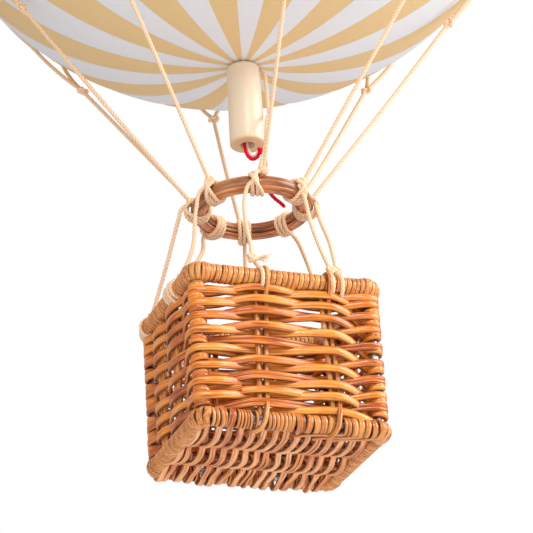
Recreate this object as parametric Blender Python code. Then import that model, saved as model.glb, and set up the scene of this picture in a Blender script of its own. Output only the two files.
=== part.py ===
"""Hanging model of a hot air balloon with a woven basket, made as separate pieces.

Metres, +Z up. The origin is where a ceiling hook bears inside the brass hanging ring.
+X runs along the basket's long side, and -Y is the side with the valve line.
Sizes are named in millimetres and turned into metres where a mesh is made.
"""

import math

import bmesh
import bpy
from mathutils import Matrix, Vector

MM = 0.001
GAP = 0.32

# Hanging ring and crown cap
HANG_RING_RADIUS = 6.5
HANG_RING_WIRE = 0.8
EYE_RADIUS = 2.9
EYE_WIRE = 0.7
EYE_RUN = 0.3
CAP_RADIUS = 7.0
CAP_EDGE = 1.2
CAP_HEIGHT = 3.0

# Envelope
ENVELOPE_RADIUS = 90.0
ENVELOPE_SEGMENTS = 48
ENVELOPE_RINGS = 22

# Appendix tube under the envelope
TUBE_TOP_RADIUS = 4.35
TUBE_FOOT_RADIUS = 4.65
TUBE_BORE_RADIUS = 1.85
TUBE_LENGTH = 23.3
TUBE_EDGE = 0.7

# Load ring, with its centreline in the plane that all lower heights are measured from
RING_TO_ENVELOPE_CENTRE = 131.9
RING_RADIUS = 13.5
RING_ROD = 2.2
LASHING_LENGTH = 4.2
LASHING_BORE = 2.78
LASHING_RADIUS = 3.4

# Stays, each with a knot and two legs that lie on the envelope, and their places round it in degrees
CORD_RADIUS = 0.6
STAYS = (
    # middle of its lashing, its own foot on that lashing, its knot
    (-17.2, -11.2, -9.3),
    (32.0, 29.0, 31.7),
    (77.0, 81.0, 77.7),
    (119.0, 113.0, 119.7),
    (162.8, 156.8, 168.7),
    (207.8, 205.8, 212.7),
    (252.8, 260.8, 264.7),
    (301.8, 307.8, 310.2),
)
STAY_KNOT_ORBIT = 57.8
STAY_KNOT_HEIGHT = 58.4
STAY_KNOT_RADIUS = 1.9
LEG_START = -12.3
LEG_SPREAD = 11.25
LEG_TOP_ELEVATION = -12.0
LEG_STEPS = 6
LEG_SIDE_STEP = 0.8
LEG_RISE_STEP = 0.9

# Basket
BASKET_LENGTH = 46.8
BASKET_DEPTH = 36.2
RIM_DROP = 28.8
BASE_DROP = 65.95
RIM_RADIUS = 2.1
CORNER_RADIUS = 2.4
CORNER_STEPS = 4
POST_RADIUS = 1.05
WEAVER_ROWS = 17
WEAVER_RADIUS = 0.8
WEAVE_OFFSET = 1.35
LONG_WALL_STAKES = (-6.9, 10.7)
SHORT_WALL_STAKES = (-2.9, 8.1)
STAKE_WIDTH = 3.4
STAKE_DEPTH = 1.7
FLOOR_STRANDS = 16
FLOOR_STRAND_RADIUS = 0.85
FLOOR_RODS = 3
FLOOR_ROD_RADIUS = 0.9
FLOOR_ROD_RISE = 1.1

# Heights in the part's frame
RING_CENTRE_Z = -(HANG_RING_RADIUS - HANG_RING_WIRE)
SWING_Z = RING_CENTRE_Z - HANG_RING_RADIUS
EYE_Z = SWING_Z + HANG_RING_WIRE + EYE_RUN - (EYE_RADIUS - EYE_WIRE)
CAP_TOP_Z = EYE_Z - EYE_RADIUS + EYE_WIRE / 2
ENVELOPE_Z = CAP_TOP_Z - CAP_HEIGHT - GAP - ENVELOPE_RADIUS
RING_Z = ENVELOPE_Z - RING_TO_ENVELOPE_CENTRE

# Joint axes under the load ring's plane: where the stays' lines meet, and where the basket's cords meet
SWAY_DROP = 17.8
BASKET_SWING_RISE = 40.0

# Basket cords: which lashing they leave, and the point of the rim that they are tied to
BASKET_CORDS = (
    # lashing number, rim x, rim y
    (0, 14.4, -18.1),
    (1, 23.4, 10.5),
    (2, 3.5, 18.1),
    (3, -23.4, -4.4),
    (4, -22.9, 16.6),
    (5, -23.4, -7.6),
    (6, -7.0, -18.1),
    (7, 12.2, -18.1),
)
BASKET_CORD_STEPS = 6
BASKET_CORD_SLACK = 0.9

# Valve line: its points from the tube's bore, round a small loop and down to its free end,
# measured from the load ring's centre
VALVE_LINE = (
    (-0.95, 0.2, 21.5),
    (-0.95, 0.1, 18.9),
    (-0.8, -0.2, 16.7),
    (-0.2, -0.8, 14.5),
    (0.5, -1.7, 13.5),
    (1.4, -2.6, 13.8),
    (1.9, -3.4, 14.7),
    (2.3, -4.2, 14.5),
    (2.4, -4.9, 13.0),
    (2.2, -5.9, 10.5),
    (1.5, -7.0, 7.7),
    (0.8, -7.8, 5.0),
    (0.9, -8.1, 2.5),
    (1.9, -8.2, 0.6),
    (3.3, -8.0, -0.8),
    (4.8, -7.6, -1.6),
    (6.3, -6.9, -2.3),
)
VALVE_LINE_RADIUS = 0.5
VALVE_LINE_STEPS = 34


def clear_scene():
    for item in list(bpy.data.objects):
        bpy.data.objects.remove(item, do_unlink=True)


def material(name, color, roughness, metallic=0.0):
    found = bpy.data.materials.get(name)
    if found:
        return found
    new = bpy.data.materials.new(name)
    new.use_nodes = True
    shader = new.node_tree.nodes["Principled BSDF"]
    shader.inputs["Base Color"].default_value = (*color, 1.0)
    shader.inputs["Roughness"].default_value = roughness
    shader.inputs["Metallic"].default_value = metallic
    new.diffuse_color = (*color, 1.0)
    return new


def brass():
    return material("brass", (0.62, 0.44, 0.16), 0.3, 1.0)


def paper():
    return material("white_paper", (0.78, 0.77, 0.8), 0.7)


def cream_plastic():
    return material("cream_tube", (0.83, 0.74, 0.56), 0.35)


def cotton():
    return material("cotton_cord", (0.74, 0.62, 0.43), 0.9)


def red_cotton():
    return material("red_cord", (0.7, 0.03, 0.05), 0.8)


def rattan():
    return material("bent_rattan", (0.36, 0.15, 0.07), 0.45)


def cane():
    return material("wrapped_cane", (0.6, 0.33, 0.14), 0.4)


def reed():
    return material("woven_reed", (0.68, 0.3, 0.08), 0.35)


def wire():
    return material("zinc_wire", (0.6, 0.6, 0.58), 0.35, 1.0)


def pivot(name, height, parent=None):
    """An empty on a joint's axis, at a height of the part's frame."""
    empty = bpy.data.objects.new(name, None)
    empty["height"] = height
    base = parent["height"] if parent else 0.0
    empty.parent = parent
    empty.location = (0, 0, (height - base) * MM)
    bpy.context.scene.collection.objects.link(empty)
    return empty


def add(name, data, finish, parent, level):
    """Link an object whose shape is in millimetres about the height called level."""
    item = bpy.data.objects.new(name, data)
    bpy.context.scene.collection.objects.link(item)
    item.data.materials.clear()
    item.data.materials.append(finish)
    item.parent = parent
    item.location = (0, 0, (level - parent["height"]) * MM)
    return item


def finish_mesh(bm, name, smooth_angle=40):
    """Turn a bmesh in millimetres into a mesh in metres, shaded smooth between sharp edges."""
    bmesh.ops.scale(bm, vec=(MM, MM, MM), verts=bm.verts)
    bmesh.ops.recalc_face_normals(bm, faces=bm.faces)
    mesh = bpy.data.meshes.new(name)
    bm.to_mesh(mesh)
    bm.free()
    mesh.shade_smooth()
    mesh.set_sharp_from_angle(angle=math.radians(smooth_angle))
    return mesh


def polar(radius, degrees, height):
    turn = math.radians(degrees)
    return Vector((radius * math.cos(turn), radius * math.sin(turn), height))


def cord_curve(name, points, radius, sides=6, cyclic=False):
    """A round cord or rod along points in millimetres, as a curve with a bevel and filled caps."""
    curve = bpy.data.curves.new(name, "CURVE")
    curve.dimensions = "3D"
    curve.bevel_depth = radius * MM
    curve.bevel_resolution = (sides - 4) // 2
    curve.use_fill_caps = True
    spline = curve.splines.new("POLY")
    spline.points.add(len(points) - 1)
    for slot, point in zip(spline.points, points):
        slot.co = (*(Vector(point) * MM), 1.0)
    spline.use_cyclic_u = cyclic
    return curve


def cord_meshes(name, runs, radius, sides=6):
    """One bmesh, in millimetres, of separate cords along several runs of points."""
    bm = bmesh.new()
    for points in runs:
        curve = cord_curve(name, points, radius, sides)
        guide = bpy.data.objects.new(name + "_guide", curve)
        mesh = guide.to_mesh()
        bm.from_mesh(mesh)
        guide.to_mesh_clear()
        bpy.data.objects.remove(guide)
        bpy.data.curves.remove(curve)
    bmesh.ops.remove_doubles(bm, verts=bm.verts, dist=0.00001)
    bmesh.ops.scale(bm, vec=(1 / MM, 1 / MM, 1 / MM), verts=bm.verts)
    return bm


def smooth_route(points, steps):
    """Points at even parameter steps on a smooth curve through a few chosen points."""
    route = [Vector(p) for p in points]
    last = len(route) - 1
    result = []
    for step in range(steps + 1):
        at = step / steps * last
        index = min(int(at), last - 1)
        t = at - index
        p0 = route[max(index - 1, 0)]
        p1 = route[index]
        p2 = route[index + 1]
        p3 = route[min(index + 2, last)]
        bend = p1 * 2 + (p2 - p0) * t
        bend += (p0 * 2 - p1 * 5 + p2 * 4 - p3) * t ** 2
        bend += (p1 * 3 - p0 - p2 * 3 + p3) * t ** 3
        result.append(bend / 2)
    return result


def union(target, cutters):
    """Join a mesh object with others that it meets, into one closed body."""
    for cutter in cutters:
        modifier = target.modifiers.new("join", "BOOLEAN")
        modifier.operation = "UNION"
        modifier.solver = "EXACT"
        modifier.object = cutter
        cutter.hide_render = True
        cutter.display_type = "WIRE"


def cutter_from(bm, name, parent, level):
    cutter = add(name, finish_mesh(bm, name), wire(), parent, level)
    cutter.hide_render = True
    cutter.display_type = "WIRE"
    return cutter


def ring_points(radius, count, plane="XY"):
    points = []
    for step in range(count):
        turn = 2 * math.pi * step / count
        a = radius * math.cos(turn)
        b = radius * math.sin(turn)
        points.append((a, b, 0) if plane == "XY" else (a, 0, b) if plane == "XZ" else (0, a, b))
    return points


def turned(profile, segments):
    """Spin a closed profile of (radius, height) points about Z into one body."""
    bm = bmesh.new()
    verts = [bm.verts.new((radius, 0, height)) for radius, height in profile]
    edges = [bm.edges.new((verts[i], verts[(i + 1) % len(verts)])) for i in range(len(verts))]
    bmesh.ops.spin(
        bm, geom=verts + edges, cent=(0, 0, 0), axis=(0, 0, 1),
        angle=2 * math.pi, steps=segments, use_merge=True)
    bmesh.ops.remove_doubles(bm, verts=bm.verts, dist=0.0005)
    return bm


def hanging_ring(root):
    curve = cord_curve("hanging_ring", ring_points(HANG_RING_RADIUS, 28, "XZ"), HANG_RING_WIRE, 8, True)
    add("hanging_ring", curve, brass(), root, RING_CENTRE_Z)


def crown_cap(body):
    """A turned brass cap with the eye that the hanging ring passes through."""
    top = CAP_TOP_Z - ENVELOPE_Z
    foot = top - CAP_HEIGHT
    profile = (
        (0.0, foot), (CAP_RADIUS, foot), (CAP_RADIUS, foot + CAP_EDGE),
        (CAP_RADIUS * 0.72, top - 0.5), (CAP_RADIUS * 0.35, top), (0.0, top))
    bm = turned(profile, 24)
    cap = add("crown_cap", finish_mesh(bm, "crown_cap"), brass(), body, ENVELOPE_Z)
    eye = cord_curve("eye", ring_points(EYE_RADIUS, 16, "YZ"), EYE_WIRE, 8, True)
    guide = bpy.data.objects.new("eye_guide", eye)
    bm = bmesh.new()
    bm.from_mesh(guide.to_mesh())
    guide.to_mesh_clear()
    bpy.data.objects.remove(guide)
    bmesh.ops.scale(bm, vec=(1 / MM, 1 / MM, 1 / MM), verts=bm.verts)
    union(cap, [cutter_from(bm, "eye_join", body, EYE_Z)])


def envelope(body):
    bm = bmesh.new()
    bmesh.ops.create_uvsphere(
        bm, u_segments=ENVELOPE_SEGMENTS, v_segments=ENVELOPE_RINGS, radius=ENVELOPE_RADIUS)
    add("envelope", finish_mesh(bm, "envelope"), paper(), body, ENVELOPE_Z)


def appendix_tube(body):
    """The cream tube under the envelope, with its bore and rounded ends."""
    top = RING_TO_ENVELOPE_CENTRE - ENVELOPE_RADIUS - GAP
    foot = top - TUBE_LENGTH
    profile = (
        (TUBE_BORE_RADIUS, foot + TUBE_EDGE / 2), (TUBE_BORE_RADIUS + TUBE_EDGE / 2, foot),
        (TUBE_FOOT_RADIUS - TUBE_EDGE, foot), (TUBE_FOOT_RADIUS, foot + TUBE_EDGE),
        (TUBE_TOP_RADIUS, top), (TUBE_BORE_RADIUS, top))
    add("appendix_tube", finish_mesh(turned(profile, 20), "appendix_tube"), cream_plastic(), body, RING_Z)


def load_ring(body):
    curve = cord_curve("load_ring", ring_points(RING_RADIUS, 40), RING_ROD, 8, True)
    add("load_ring", curve, rattan(), body, RING_Z)


def ring_lashings(body):
    """A short sleeve of cord turns round the load ring at each stay."""
    for number, (middle, _, _) in enumerate(STAYS):
        half = LASHING_LENGTH / 2
        profile = (
            (LASHING_BORE, -half), (LASHING_RADIUS - 0.5, -half), (LASHING_RADIUS, -half + 0.8),
            (LASHING_RADIUS, half - 0.8), (LASHING_RADIUS - 0.5, half), (LASHING_BORE, half))
        bm = turned(profile, 12)
        along = Matrix.Rotation(math.radians(middle), 4, "Z") @ Matrix.Rotation(math.radians(90), 4, "X")
        bmesh.ops.transform(bm, matrix=along, verts=bm.verts)
        bmesh.ops.translate(bm, vec=polar(RING_RADIUS, middle, 0), verts=bm.verts)
        name = f"ring_lashing_{number + 1}"
        add(name, finish_mesh(bm, name), cotton(), body, RING_Z)


def leg_route(knot, knot_angle, middle, side):
    """A crow's foot leg: from the knot to the envelope, then up over its surface to one side of middle."""
    centre = Vector((0, 0, RING_TO_ENVELOPE_CENTRE))
    lie = ENVELOPE_RADIUS + GAP + CORD_RADIUS + 0.1
    rise = math.radians(LEG_TOP_ELEVATION)
    top = polar(lie * math.cos(rise), middle + side * LEG_SPREAD, 0)
    top.z = lie * math.sin(rise)
    start = knot - centre
    route = []
    for step in range(LEG_STEPS + 1):
        t = step / LEG_STEPS
        between = start.lerp(top, t)
        reach = max(lie, start.length * (1 - 3 * t) + lie * 3 * t) if t < 1 / 3 else lie
        route.append(between.normalized() * reach + centre)
    beside = polar(1, knot_angle + 90, 0) * side
    away = (route[1] - knot).normalized()
    route[0] = knot + away * LEG_RISE_STEP + beside * LEG_SIDE_STEP
    return route


def stays(body):
    """Eight stays, each a cord down to the load ring, a knot and two legs."""
    for number, (_, foot_angle, knot_angle) in enumerate(STAYS):
        middle = LEG_START + number * 360 / len(STAYS)
        knot = polar(STAY_KNOT_ORBIT, knot_angle, STAY_KNOT_HEIGHT)
        seat = polar(RING_RADIUS, foot_angle, 0)
        away = (knot - seat).normalized()
        low = seat + away * (LASHING_RADIUS + GAP)
        high = knot - away * LEG_RISE_STEP
        runs = [(low, high)] + [leg_route(knot, knot_angle, middle, side) for side in (-1, 1)]
        name = f"stay_{number + 1}"
        bm = bmesh.new()
        bmesh.ops.create_icosphere(bm, subdivisions=2, radius=STAY_KNOT_RADIUS)
        bmesh.ops.translate(bm, vec=knot, verts=bm.verts)
        stay = add(name, finish_mesh(bm, name), cotton(), body, RING_Z)
        cords = cord_meshes(name, runs, CORD_RADIUS)
        union(stay, [cutter_from(cords, name + "_join", body, RING_Z)])


def basket_cords(body):
    """Cords from the lashings down to the basket's rim, a little slack."""
    for count, (number, rim_x, rim_y) in enumerate(BASKET_CORDS):
        seat = polar(RING_RADIUS, STAYS[number][0], 0)
        rim = Vector((rim_x, rim_y, -RIM_DROP))
        away = (rim - seat).normalized()
        high = seat + away * (LASHING_RADIUS + GAP)
        low = rim - away * (RIM_RADIUS + GAP + 0.2)
        bow = Vector((rim_x, rim_y, 0)).normalized() * BASKET_CORD_SLACK
        points = []
        for step in range(BASKET_CORD_STEPS + 1):
            t = step / BASKET_CORD_STEPS
            points.append(high.lerp(low, t) - bow * math.sin(math.pi * t))
        name = f"basket_cord_{count + 1}"
        add(name, cord_curve(name, points, CORD_RADIUS), cotton(), body, RING_Z)


def valve_line(body):
    points = smooth_route(VALVE_LINE, VALVE_LINE_STEPS)
    add("valve_line", cord_curve("valve_line", points, VALVE_LINE_RADIUS, 8), red_cotton(), body, RING_Z)


def basket_outline():
    """The rims' centreline, a rectangle with round corners, in the rim's own plane."""
    points = []
    for sx, sy, start in ((1, 1, 0), (-1, 1, 90), (-1, -1, 180), (1, -1, 270)):
        centre = Vector((sx * (BASKET_LENGTH / 2 - CORNER_RADIUS), sy * (BASKET_DEPTH / 2 - CORNER_RADIUS), 0))
        for step in range(CORNER_STEPS + 1):
            points.append(centre + polar(CORNER_RADIUS, start + 90 * step / CORNER_STEPS, 0))
    return points


def basket_rims(body):
    for name, drop in (("basket_top_rim", RIM_DROP), ("basket_base_rim", BASE_DROP)):
        add(name, cord_curve(name, basket_outline(), RIM_RADIUS, 8, True), cane(), body, RING_Z - drop)


def corner_posts(body):
    inset = CORNER_RADIUS * (1 - math.sqrt(0.5))
    high = -RIM_DROP - RIM_RADIUS - GAP
    low = -BASE_DROP + RIM_RADIUS + GAP
    corners = ((-1, -1), (1, -1), (1, 1), (-1, 1))
    for number, (sx, sy) in enumerate(corners):
        x = sx * (BASKET_LENGTH / 2 - inset)
        y = sy * (BASKET_DEPTH / 2 - inset)
        name = f"corner_post_{number + 1}"
        add(name, cord_curve(name, [(x, y, low), (x, y, high)], POST_RADIUS, 8), wire(), body, RING_Z)


def stake_bars(stakes, low, high):
    """Two flat stakes, each standing for a pair of rods, in a wall that runs along X."""
    bm = bmesh.new()
    for x in stakes:
        size = Matrix.Diagonal((STAKE_WIDTH, STAKE_DEPTH, high - low, 1))
        place = Matrix.Translation((x, 0, (high + low) / 2))
        bmesh.ops.create_cube(bm, size=1, matrix=place @ size)
    return bm


def weaver_runs(stakes, reach, corner, low, high):
    """Rows of weavers that pass in front of one stake and behind the other by turns."""
    first, second = stakes
    runs = []
    pitch = (high - low - 2 * WEAVER_RADIUS - GAP) / (WEAVER_ROWS - 1)
    for row in range(WEAVER_ROWS):
        z = low + WEAVER_RADIUS + GAP / 2 + row * pitch
        wave = WEAVE_OFFSET if row % 2 else -WEAVE_OFFSET
        runs.append(((-reach, corner, z), (first, wave, z), (second, -wave, z), (reach, corner, z)))
    return runs


def across(stakes):
    """The stakes of the opposite wall, which stand straight across, as that wall counts along itself."""
    return tuple(-x for x in reversed(stakes))


def basket_walls(body):
    """Four woven walls: rows of weavers fused to two stakes."""
    low = -BASE_DROP + RIM_RADIUS + GAP
    high = -RIM_DROP - RIM_RADIUS - GAP
    inset = CORNER_RADIUS * (1 - math.sqrt(0.5))
    beside_post = POST_RADIUS + WEAVER_RADIUS + GAP
    long_corner = inset - beside_post
    side_reach = BASKET_DEPTH / 2 - inset - POST_RADIUS - GAP
    walls = (
        # name, its stakes, reach of the rows, their offset at the ends, turn, distance from the middle
        ("basket_wall_front", LONG_WALL_STAKES, BASKET_LENGTH / 2, long_corner, 0, BASKET_DEPTH / 2),
        ("basket_wall_right", SHORT_WALL_STAKES, side_reach, 0.0, 90, BASKET_LENGTH / 2),
        ("basket_wall_back", across(LONG_WALL_STAKES), BASKET_LENGTH / 2, long_corner, 180, BASKET_DEPTH / 2),
        ("basket_wall_left", across(SHORT_WALL_STAKES), side_reach, 0.0, 270, BASKET_LENGTH / 2),
    )
    for name, stakes, reach, corner, turn, out in walls:
        place = Matrix.Rotation(math.radians(turn), 4, "Z") @ Matrix.Translation((0, -out, 0))
        bars = stake_bars(stakes, low, high)
        bmesh.ops.transform(bars, matrix=place, verts=bars.verts)
        rows = cord_meshes(name, weaver_runs(stakes, reach, corner, low, high), WEAVER_RADIUS, 4)
        bmesh.ops.transform(rows, matrix=place, verts=rows.verts)
        wall = add(name, finish_mesh(bars, name), reed(), body, RING_Z)
        union(wall, [cutter_from(rows, name + "_join", body, RING_Z)])


def basket_floor(body):
    """Strands from front to back, fused to three rods that lie across them."""
    inner_x = BASKET_LENGTH / 2 - RIM_RADIUS - GAP
    inner_y = BASKET_DEPTH / 2 - RIM_RADIUS - GAP
    strands = []
    for number in range(FLOOR_STRANDS):
        x = (number / (FLOOR_STRANDS - 1) - 0.5) * 2 * (inner_x - 1.6)
        reach = inner_y if 0 < number < FLOOR_STRANDS - 1 else inner_y - 1.0
        strands.append(((x, -reach, 0), (x, reach, 0)))
    rods = []
    for number in range(FLOOR_RODS):
        y = (number - (FLOOR_RODS - 1) / 2) * BASKET_DEPTH / 4
        rods.append(((-inner_x, y, FLOOR_ROD_RISE), (inner_x, y, FLOOR_ROD_RISE)))
    strand_bm = cord_meshes("basket_floor", strands, FLOOR_STRAND_RADIUS)
    floor = add("basket_floor", finish_mesh(strand_bm, "basket_floor"), reed(), body, RING_Z - BASE_DROP)
    rod_bm = cord_meshes("basket_floor_rods", rods, FLOOR_ROD_RADIUS)
    union(floor, [cutter_from(rod_bm, "basket_floor_join", body, RING_Z - BASE_DROP)])


def main():
    clear_scene()
    root = pivot("hanger", 0.0)
    envelope_body = pivot("crown_swing", SWING_Z, root)
    ring_body = pivot("ring_sway", RING_Z - SWAY_DROP, envelope_body)
    basket_body = pivot("basket_swing", RING_Z + BASKET_SWING_RISE, ring_body)
    hanging_ring(root)
    crown_cap(envelope_body)
    envelope(envelope_body)
    appendix_tube(envelope_body)
    stays(envelope_body)
    valve_line(envelope_body)
    load_ring(ring_body)
    ring_lashings(ring_body)
    basket_cords(ring_body)
    basket_rims(basket_body)
    corner_posts(basket_body)
    basket_walls(basket_body)
    basket_floor(basket_body)


main()
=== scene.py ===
"""A small hanging model of a hot air balloon, with paper gores, cotton rigging and a woven basket.

Lengths are named in millimetres. Routes are measured from the load ring's centre, with +Z up,
+X along the basket's long side and -Y towards the valve line, and are set in place in metres.
"""

import math
import random

import bmesh
import bpy
from bpy.props import FloatProperty, FloatVectorProperty, IntProperty, PointerProperty
from mathutils import Matrix, Vector
from mathutils.geometry import interpolate_bezier


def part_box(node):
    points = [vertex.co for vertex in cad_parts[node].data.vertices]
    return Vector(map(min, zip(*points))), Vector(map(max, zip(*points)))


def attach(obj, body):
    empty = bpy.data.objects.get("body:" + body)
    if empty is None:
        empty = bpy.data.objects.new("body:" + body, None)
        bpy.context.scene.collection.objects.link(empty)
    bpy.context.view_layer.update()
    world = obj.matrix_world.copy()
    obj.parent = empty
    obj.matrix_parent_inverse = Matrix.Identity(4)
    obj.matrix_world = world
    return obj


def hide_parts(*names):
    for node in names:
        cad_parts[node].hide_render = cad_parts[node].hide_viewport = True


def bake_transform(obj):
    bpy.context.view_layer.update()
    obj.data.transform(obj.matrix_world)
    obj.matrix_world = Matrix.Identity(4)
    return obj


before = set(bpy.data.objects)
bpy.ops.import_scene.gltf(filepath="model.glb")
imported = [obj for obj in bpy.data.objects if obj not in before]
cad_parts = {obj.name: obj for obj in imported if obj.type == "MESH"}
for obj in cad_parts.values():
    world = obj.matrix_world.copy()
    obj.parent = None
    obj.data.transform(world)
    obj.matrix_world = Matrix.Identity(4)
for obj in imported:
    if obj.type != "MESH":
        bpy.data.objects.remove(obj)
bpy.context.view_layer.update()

bl_info = {
    "name": "Hanging Model Balloon",
    "version": (1, 0, 0),
    "blender": (4, 5, 0),
    "location": "View3D > Sidebar > Balloon",
    "description": "Models a hanging balloon with paper gores, cotton rigging and a woven basket",
    "category": "Object",
}

MM = 0.001
UP = Vector((0, 0, 1))


def solid_box(node):
    """A CAD node's lowest and highest corners, in millimetres."""
    low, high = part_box(node)
    return low / MM, high / MM


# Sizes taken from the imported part
RING_LOW, RING_HIGH = solid_box("load_ring")
ENVELOPE_LOW, ENVELOPE_HIGH = solid_box("envelope")
TUBE_LOW, TUBE_HIGH = solid_box("appendix_tube")
RIM_LOW, RIM_HIGH = solid_box("basket_top_rim")
BASE_LOW, BASE_HIGH = solid_box("basket_base_rim")
HANGER_LOW, HANGER_HIGH = solid_box("hanging_ring")
CAP_LOW, CAP_HIGH = solid_box("crown_cap")

RING_LEVEL = (RING_LOW.z + RING_HIGH.z) / 2
RING_ROD = (RING_HIGH.z - RING_LOW.z) / 2
RING_RADIUS = RING_HIGH.x - RING_ROD
ENVELOPE_RADIUS = (ENVELOPE_HIGH.z - ENVELOPE_LOW.z) / 2
ENVELOPE_RISE = (ENVELOPE_HIGH.z + ENVELOPE_LOW.z) / 2 - RING_LEVEL
TUBE_TOP = TUBE_HIGH.z - RING_LEVEL
TUBE_FOOT = TUBE_LOW.z - RING_LEVEL
RIM_RADIUS = (RIM_HIGH.z - RIM_LOW.z) / 2
RIM_RISE = (RIM_HIGH.z + RIM_LOW.z) / 2 - RING_LEVEL
BASE_RISE = (BASE_HIGH.z + BASE_LOW.z) / 2 - RING_LEVEL
HALF_LENGTH = RIM_HIGH.x - RIM_RADIUS
HALF_DEPTH = RIM_HIGH.y - RIM_RADIUS
HANGER_WIRE = (HANGER_HIGH.y - HANGER_LOW.y) / 2
HANGER_RADIUS = (HANGER_HIGH.z - HANGER_LOW.z) / 2 - HANGER_WIRE
HANGER_RISE = (HANGER_HIGH.z + HANGER_LOW.z) / 2 - RING_LEVEL
CAP_RADIUS = CAP_HIGH.x
CAP_FOOT = CAP_LOW.z - RING_LEVEL

# Crown fittings
EYE_RADIUS = 2.9
EYE_WIRE = 0.7
EYE_RISE = CAP_HIGH.z - RING_LEVEL - EYE_RADIUS - EYE_WIRE
CAP_HEIGHT = 3.0
CAP_EDGE = 1.2

# Envelope and tube
GORE_COUNT = 24
GORE_DIP = 0.22
TUBE_TOP_RADIUS = 4.35
TUBE_BORE = 1.85

# Curves: points between two knots of a route, steps of a strand's domed end, and how far apart
# the points of each kind of strand lie
CURVE_STEPS = 10
DOME_STEPS = 2
CORD_STEP = 0.2
LEG_STEP = 0.25
NET_STEP = 1.6
WEAVER_STEP = 0.52
FLOOR_STRAND_STEP = 0.45

# Rigging
CORD_RADIUS = 0.55
PLIES = 3
PLY_PITCH = 3.0
HITCH_SPREAD = 0.62
LEG_START = -12.3
LEG_SPREAD = 11.25
KNOT_ORBIT = 57.8
KNOT_RISE = 58.4
NET_ROWS = (-12.0, 1.0, 14.0, 27.0, 39.0, 50.0, 60.0, 69.0, 77.0)
CROWN_HOOP_LATITUDE = 80.5

# Stays, in degrees round the ring: the middle of the lashing, the stay's foot on it, and its knot
STAYS = (
    (-17.2, -11.2, -9.3),
    (32.0, 29.0, 31.7),
    (77.0, 81.0, 77.7),
    (119.0, 113.0, 119.7),
    (162.8, 156.8, 168.7),
    (207.8, 205.8, 212.7),
    (252.8, 260.8, 264.7),
    (301.8, 307.8, 310.2),
)
STAY_COUNT = len(STAYS)

# Basket cords, in the order of the stays: the rim point that a cord is tied to, the turns of the
# tie, how low its last turn hangs under the rim, and the cord's way down to the tie's knot
BASKET_CORDS = (
    ((14.6, -18.1), 1, 1.2, (
        (15.3, -5.2, 1.2), (15.2, -6.6, -2.0), (15.0, -8.8, -6.2), (15.2, -12.6, -13.4),
        (14.3, -18.0, -24.8))),
    ((23.4, 10.5), 2, 0.3, (
        (13.6, 8.4, -0.9), (15.8, 8.9, -3.6), (17.2, 9.0, -7.0), (20.0, 9.7, -15.0),
        (23.2, 10.5, -25.6))),
    ((3.5, 18.1), 2, 0.3, (
        (3.6, 15.6, -0.8), (3.7, 16.4, -4.0), (3.7, 17.0, -14.0), (3.5, 18.0, -25.6))),
    ((-23.4, -4.4), 2, 0.4, (
        (-7.8, 13.6, -0.6), (-9.2, 12.2, -3.8), (-10.4, 9.2, -7.8), (-14.3, 3.9, -14.9),
        (-23.2, -4.6, -25.6))),
    ((-22.9, 16.6), 4, 1.8, (
        (-15.6, 4.5, 1.5), (-17.2, 5.0, 0.4), (-18.0, 6.2, -2.6), (-19.6, 10.6, -11.5),
        (-22.8, 16.4, -25.6))),
    ((-23.4, -7.6), 2, 1.4, (
        (-14.6, -7.2, 1.2), (-16.4, -6.8, -0.6), (-17.7, -6.9, -5.5), (-19.7, -7.7, -17.7),
        (-23.1, -7.7, -25.6))),
    ((-6.3, -18.1), 1, 1.2, (
        (-4.9, -15.2, 0.2), (-6.6, -14.9, -1.8), (-7.6, -14.7, -5.4), (-8.1, -15.6, -12.3),
        (-7.7, -17.2, -20.6), (-8.2, -18.4, -23.6))),
    ((12.2, -18.1), 1, 0.6, (
        (7.4, -14.2, 0.8), (8.6, -13.9, -1.8), (9.5, -14.8, -9.4), (10.9, -16.5, -17.7),
        (12.6, -18.2, -24.9))),
)

# The frayed tail beside the seventh tie: where it starts, and where its two halves end
TAIL_START = (-7.9, -18.4, -24.2)
TAIL_ENDS = ((-4.15, -19.0, -22.7), (-5.0, -19.0, -24.2))

# Valve line, from the tube's bore down to its free end
VALVE_LINE = (
    (-0.95, 0.2, 21.5), (-0.95, 0.1, 18.9), (-0.8, -0.2, 16.7), (-0.2, -0.8, 14.5),
    (0.5, -1.7, 13.5), (1.4, -2.6, 13.8), (1.9, -3.4, 14.7), (2.3, -4.2, 14.5),
    (2.4, -4.9, 13.0), (2.2, -5.9, 10.5), (1.5, -7.0, 7.7), (0.8, -7.8, 5.0),
    (0.9, -8.1, 2.5), (1.9, -8.2, 0.6), (3.3, -8.0, -0.8), (4.8, -7.6, -1.6),
    (6.3, -6.9, -2.3),
)
VALVE_LINE_RADIUS = 0.5
WHITE_LINE = (
    (-0.3, 0.3, 20.5), (-0.1, 0.0, 17.2), (0.5, -0.7, 15.2), (1.1, -1.7, 14.5), (1.8, -3.0, 15.1))
VALVE_KNOT = (2.0, -3.7, 15.1)

# Load ring: grooves along its rod, their half width as an angle round it, and points round the ring
GROOVE_COUNT = 9
GROOVE_HALF_WIDTH = 0.16
RING_POINTS = 144

# Basket frame: the rims' corners, and how soon what is wound round them changes near a corner
CORNER_RADIUS = 2.4
CORNER_FADE = 1.6
POST_INSET = 0.7
POST_RADIUS = 1.05
STAKE_RADIUS = 0.73

# Pairs of stakes along each wall, going round: their middle at the top and at the base, and the
# space between the two rods
LONG_PAIRS = ((-6.4, -7.5, 2.05), (10.2, 11.3, 1.67))
SHORT_PAIRS = ((-2.9, -2.9, 1.8), (8.1, 8.1, 1.8))

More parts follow.
